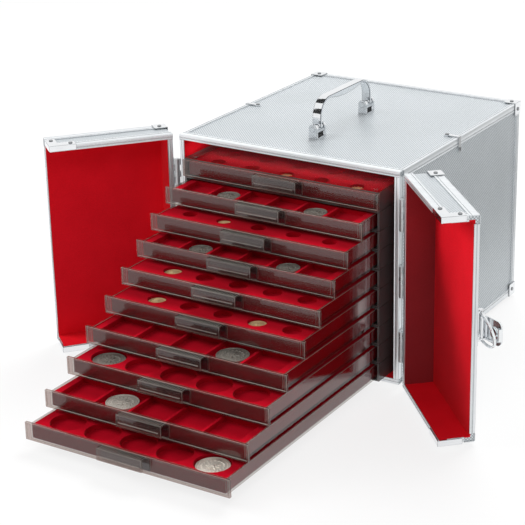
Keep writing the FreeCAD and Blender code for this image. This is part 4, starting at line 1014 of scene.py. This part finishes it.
# %% Round the boxes and drawers
PANEL_DEPTH = 3.4 * MM
GRIP_REACH = 8.0 * MM
LID_DEPTH = 3.0 * MM
SLEEVE_ROUND = 0.25 * MM
TRAY_ROUND = 0.35 * MM
THIN, PAINTED_SHADE_WALL, THICK, SHELF = 0, 2, 2, 3
sleeves = rounded_copy("box_sleeves", SLEEVE_ROUND, 1,
                       [SMOKE_THIN, SMOKE_EDGE_PAINTED_LIGHT, SMOKE_WALL_PAINTED_SHADE], EDGE)
lid_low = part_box("box_sleeves")[1].z - LID_DEPTH
for face in sleeves.data.polygons:
    if face.material_index == THIN and face.center.z < lid_low:
        face.material_index = PAINTED_SHADE_WALL
panel_faces = 0
for number in range(1, 11):
    node = "drawer_%02d_tray" % number
    tray = rounded_copy(node, TRAY_ROUND, 2,
                        [SMOKE_THIN, SMOKE_EDGE_PAINTED_LIGHT, SMOKE_THICK, SMOKE_SHELF], EDGE)
    panel_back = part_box(node)[0].y + GRIP_REACH + PANEL_DEPTH
    for face in tray.data.polygons:
        if face.material_index == THIN and face.center.y < panel_back:
            on_shelf = face.normal.z > UPWARD and face.center.y < panel_back - PANEL_DEPTH
            face.material_index = SHELF if on_shelf else THICK
            panel_faces += 1
print("faces of the front panels and pulls:", panel_faces)

# %% [markdown]
# The upper face of each pull carries a row of low ribs, so that a finger does not slip off.

# %% Ribs on the pulls
RIB_COUNT = 18
RIB_PITCH = 2.7 * MM
RIB_BACK = 4.2 * MM
RIB_SUNK = 0.1 * MM
RIB_ROUND = 0.2 * MM
SHELF_BELOW_RIM = 0.5 * MM
RIB = Vector((1.3, 6.4, 0.5)) * MM
for number in range(1, 11):
    low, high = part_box("drawer_%02d_tray" % number)
    shelf_top = high.z - SHELF_BELOW_RIM
    ribs = []
    for index in range(RIB_COUNT):
        bpy.ops.object.select_all(action="DESELECT")
        bpy.ops.mesh.primitive_cube_add(size=1.0)
        rib = bpy.context.active_object
        rib.scale = RIB
        rib.location = ((index - (RIB_COUNT - 1) / 2) * RIB_PITCH, low.y + RIB_BACK,
                        shelf_top + RIB.z / 2 - RIB_SUNK)
        ribs.append(rib)
    for rib in ribs:
        rib.select_set(True)
    bpy.context.view_layer.objects.active = ribs[0]
    bpy.ops.object.join()
    bpy.ops.object.transform_apply(location=True, rotation=True, scale=True)
    ribs[0].name = "drawer_%02d_pull_ribs" % number
    ribs[0].data.materials.append(SMOKE_SHELF)
    ribs[0].data.materials.append(SMOKE_EDGE_PAINTED_LIGHT)
    bevelled(ribs[0], RIB_ROUND, 1, EDGE)
    settle(ribs[0], "drawer_%02d" % number)
print("ribs on each pull:", RIB_COUNT)

# %% [markdown]
# Behind each pull the panel has a window, and only a dark maroon gap shows in it. A thin inner
# skin of dark smoke closes the window from behind: painted shade, which keeps the lit felt from
# showing through.

# %% Window skins with painted shade
WINDOW = Vector((56.4, 0.8, 13.2)) * MM
PANEL_THICK = 3.0 * MM
SKIN_ROUND = 0.25 * MM
# Painted shade: a dark smoke for the skin behind each window.
WINDOW_PAINTED_SHADE = smoke_finish("smoke_window_painted_shade",
                            (0.42, 0.34, 0.35), (0.10, 0.07, 0.075), 0.25)
for number in range(1, 11):
    low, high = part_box("drawer_%02d_tray" % number)
    bpy.ops.object.select_all(action="DESELECT")
    bpy.ops.mesh.primitive_cube_add(size=1.0)
    skin = bpy.context.active_object
    skin.name = "drawer_%02d_window_skin" % number
    skin.scale = WINDOW
    skin.location = (0, low.y + GRIP_REACH + PANEL_THICK - WINDOW.y, (low.z + high.z) / 2)
    bpy.ops.object.transform_apply(location=True, rotation=True, scale=True)
    skin.data.materials.append(WINDOW_PAINTED_SHADE)
    bevelled(skin, SKIN_ROUND)
    settle(skin, "drawer_%02d" % number)
print("window skin %.1f x %.1f mm" % (WINDOW.x / MM, WINDOW.z / MM))

# %% [markdown]
# At the end the box around the dressed case is measured and printed. The new pieces have
# to stay inside it.

# %% Measure and finish
visual_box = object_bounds()
dressed = Vector(visual_box[1]) - Vector(visual_box[0])
print("dressed case, in mm:", [round(side / MM, 1) for side in dressed])
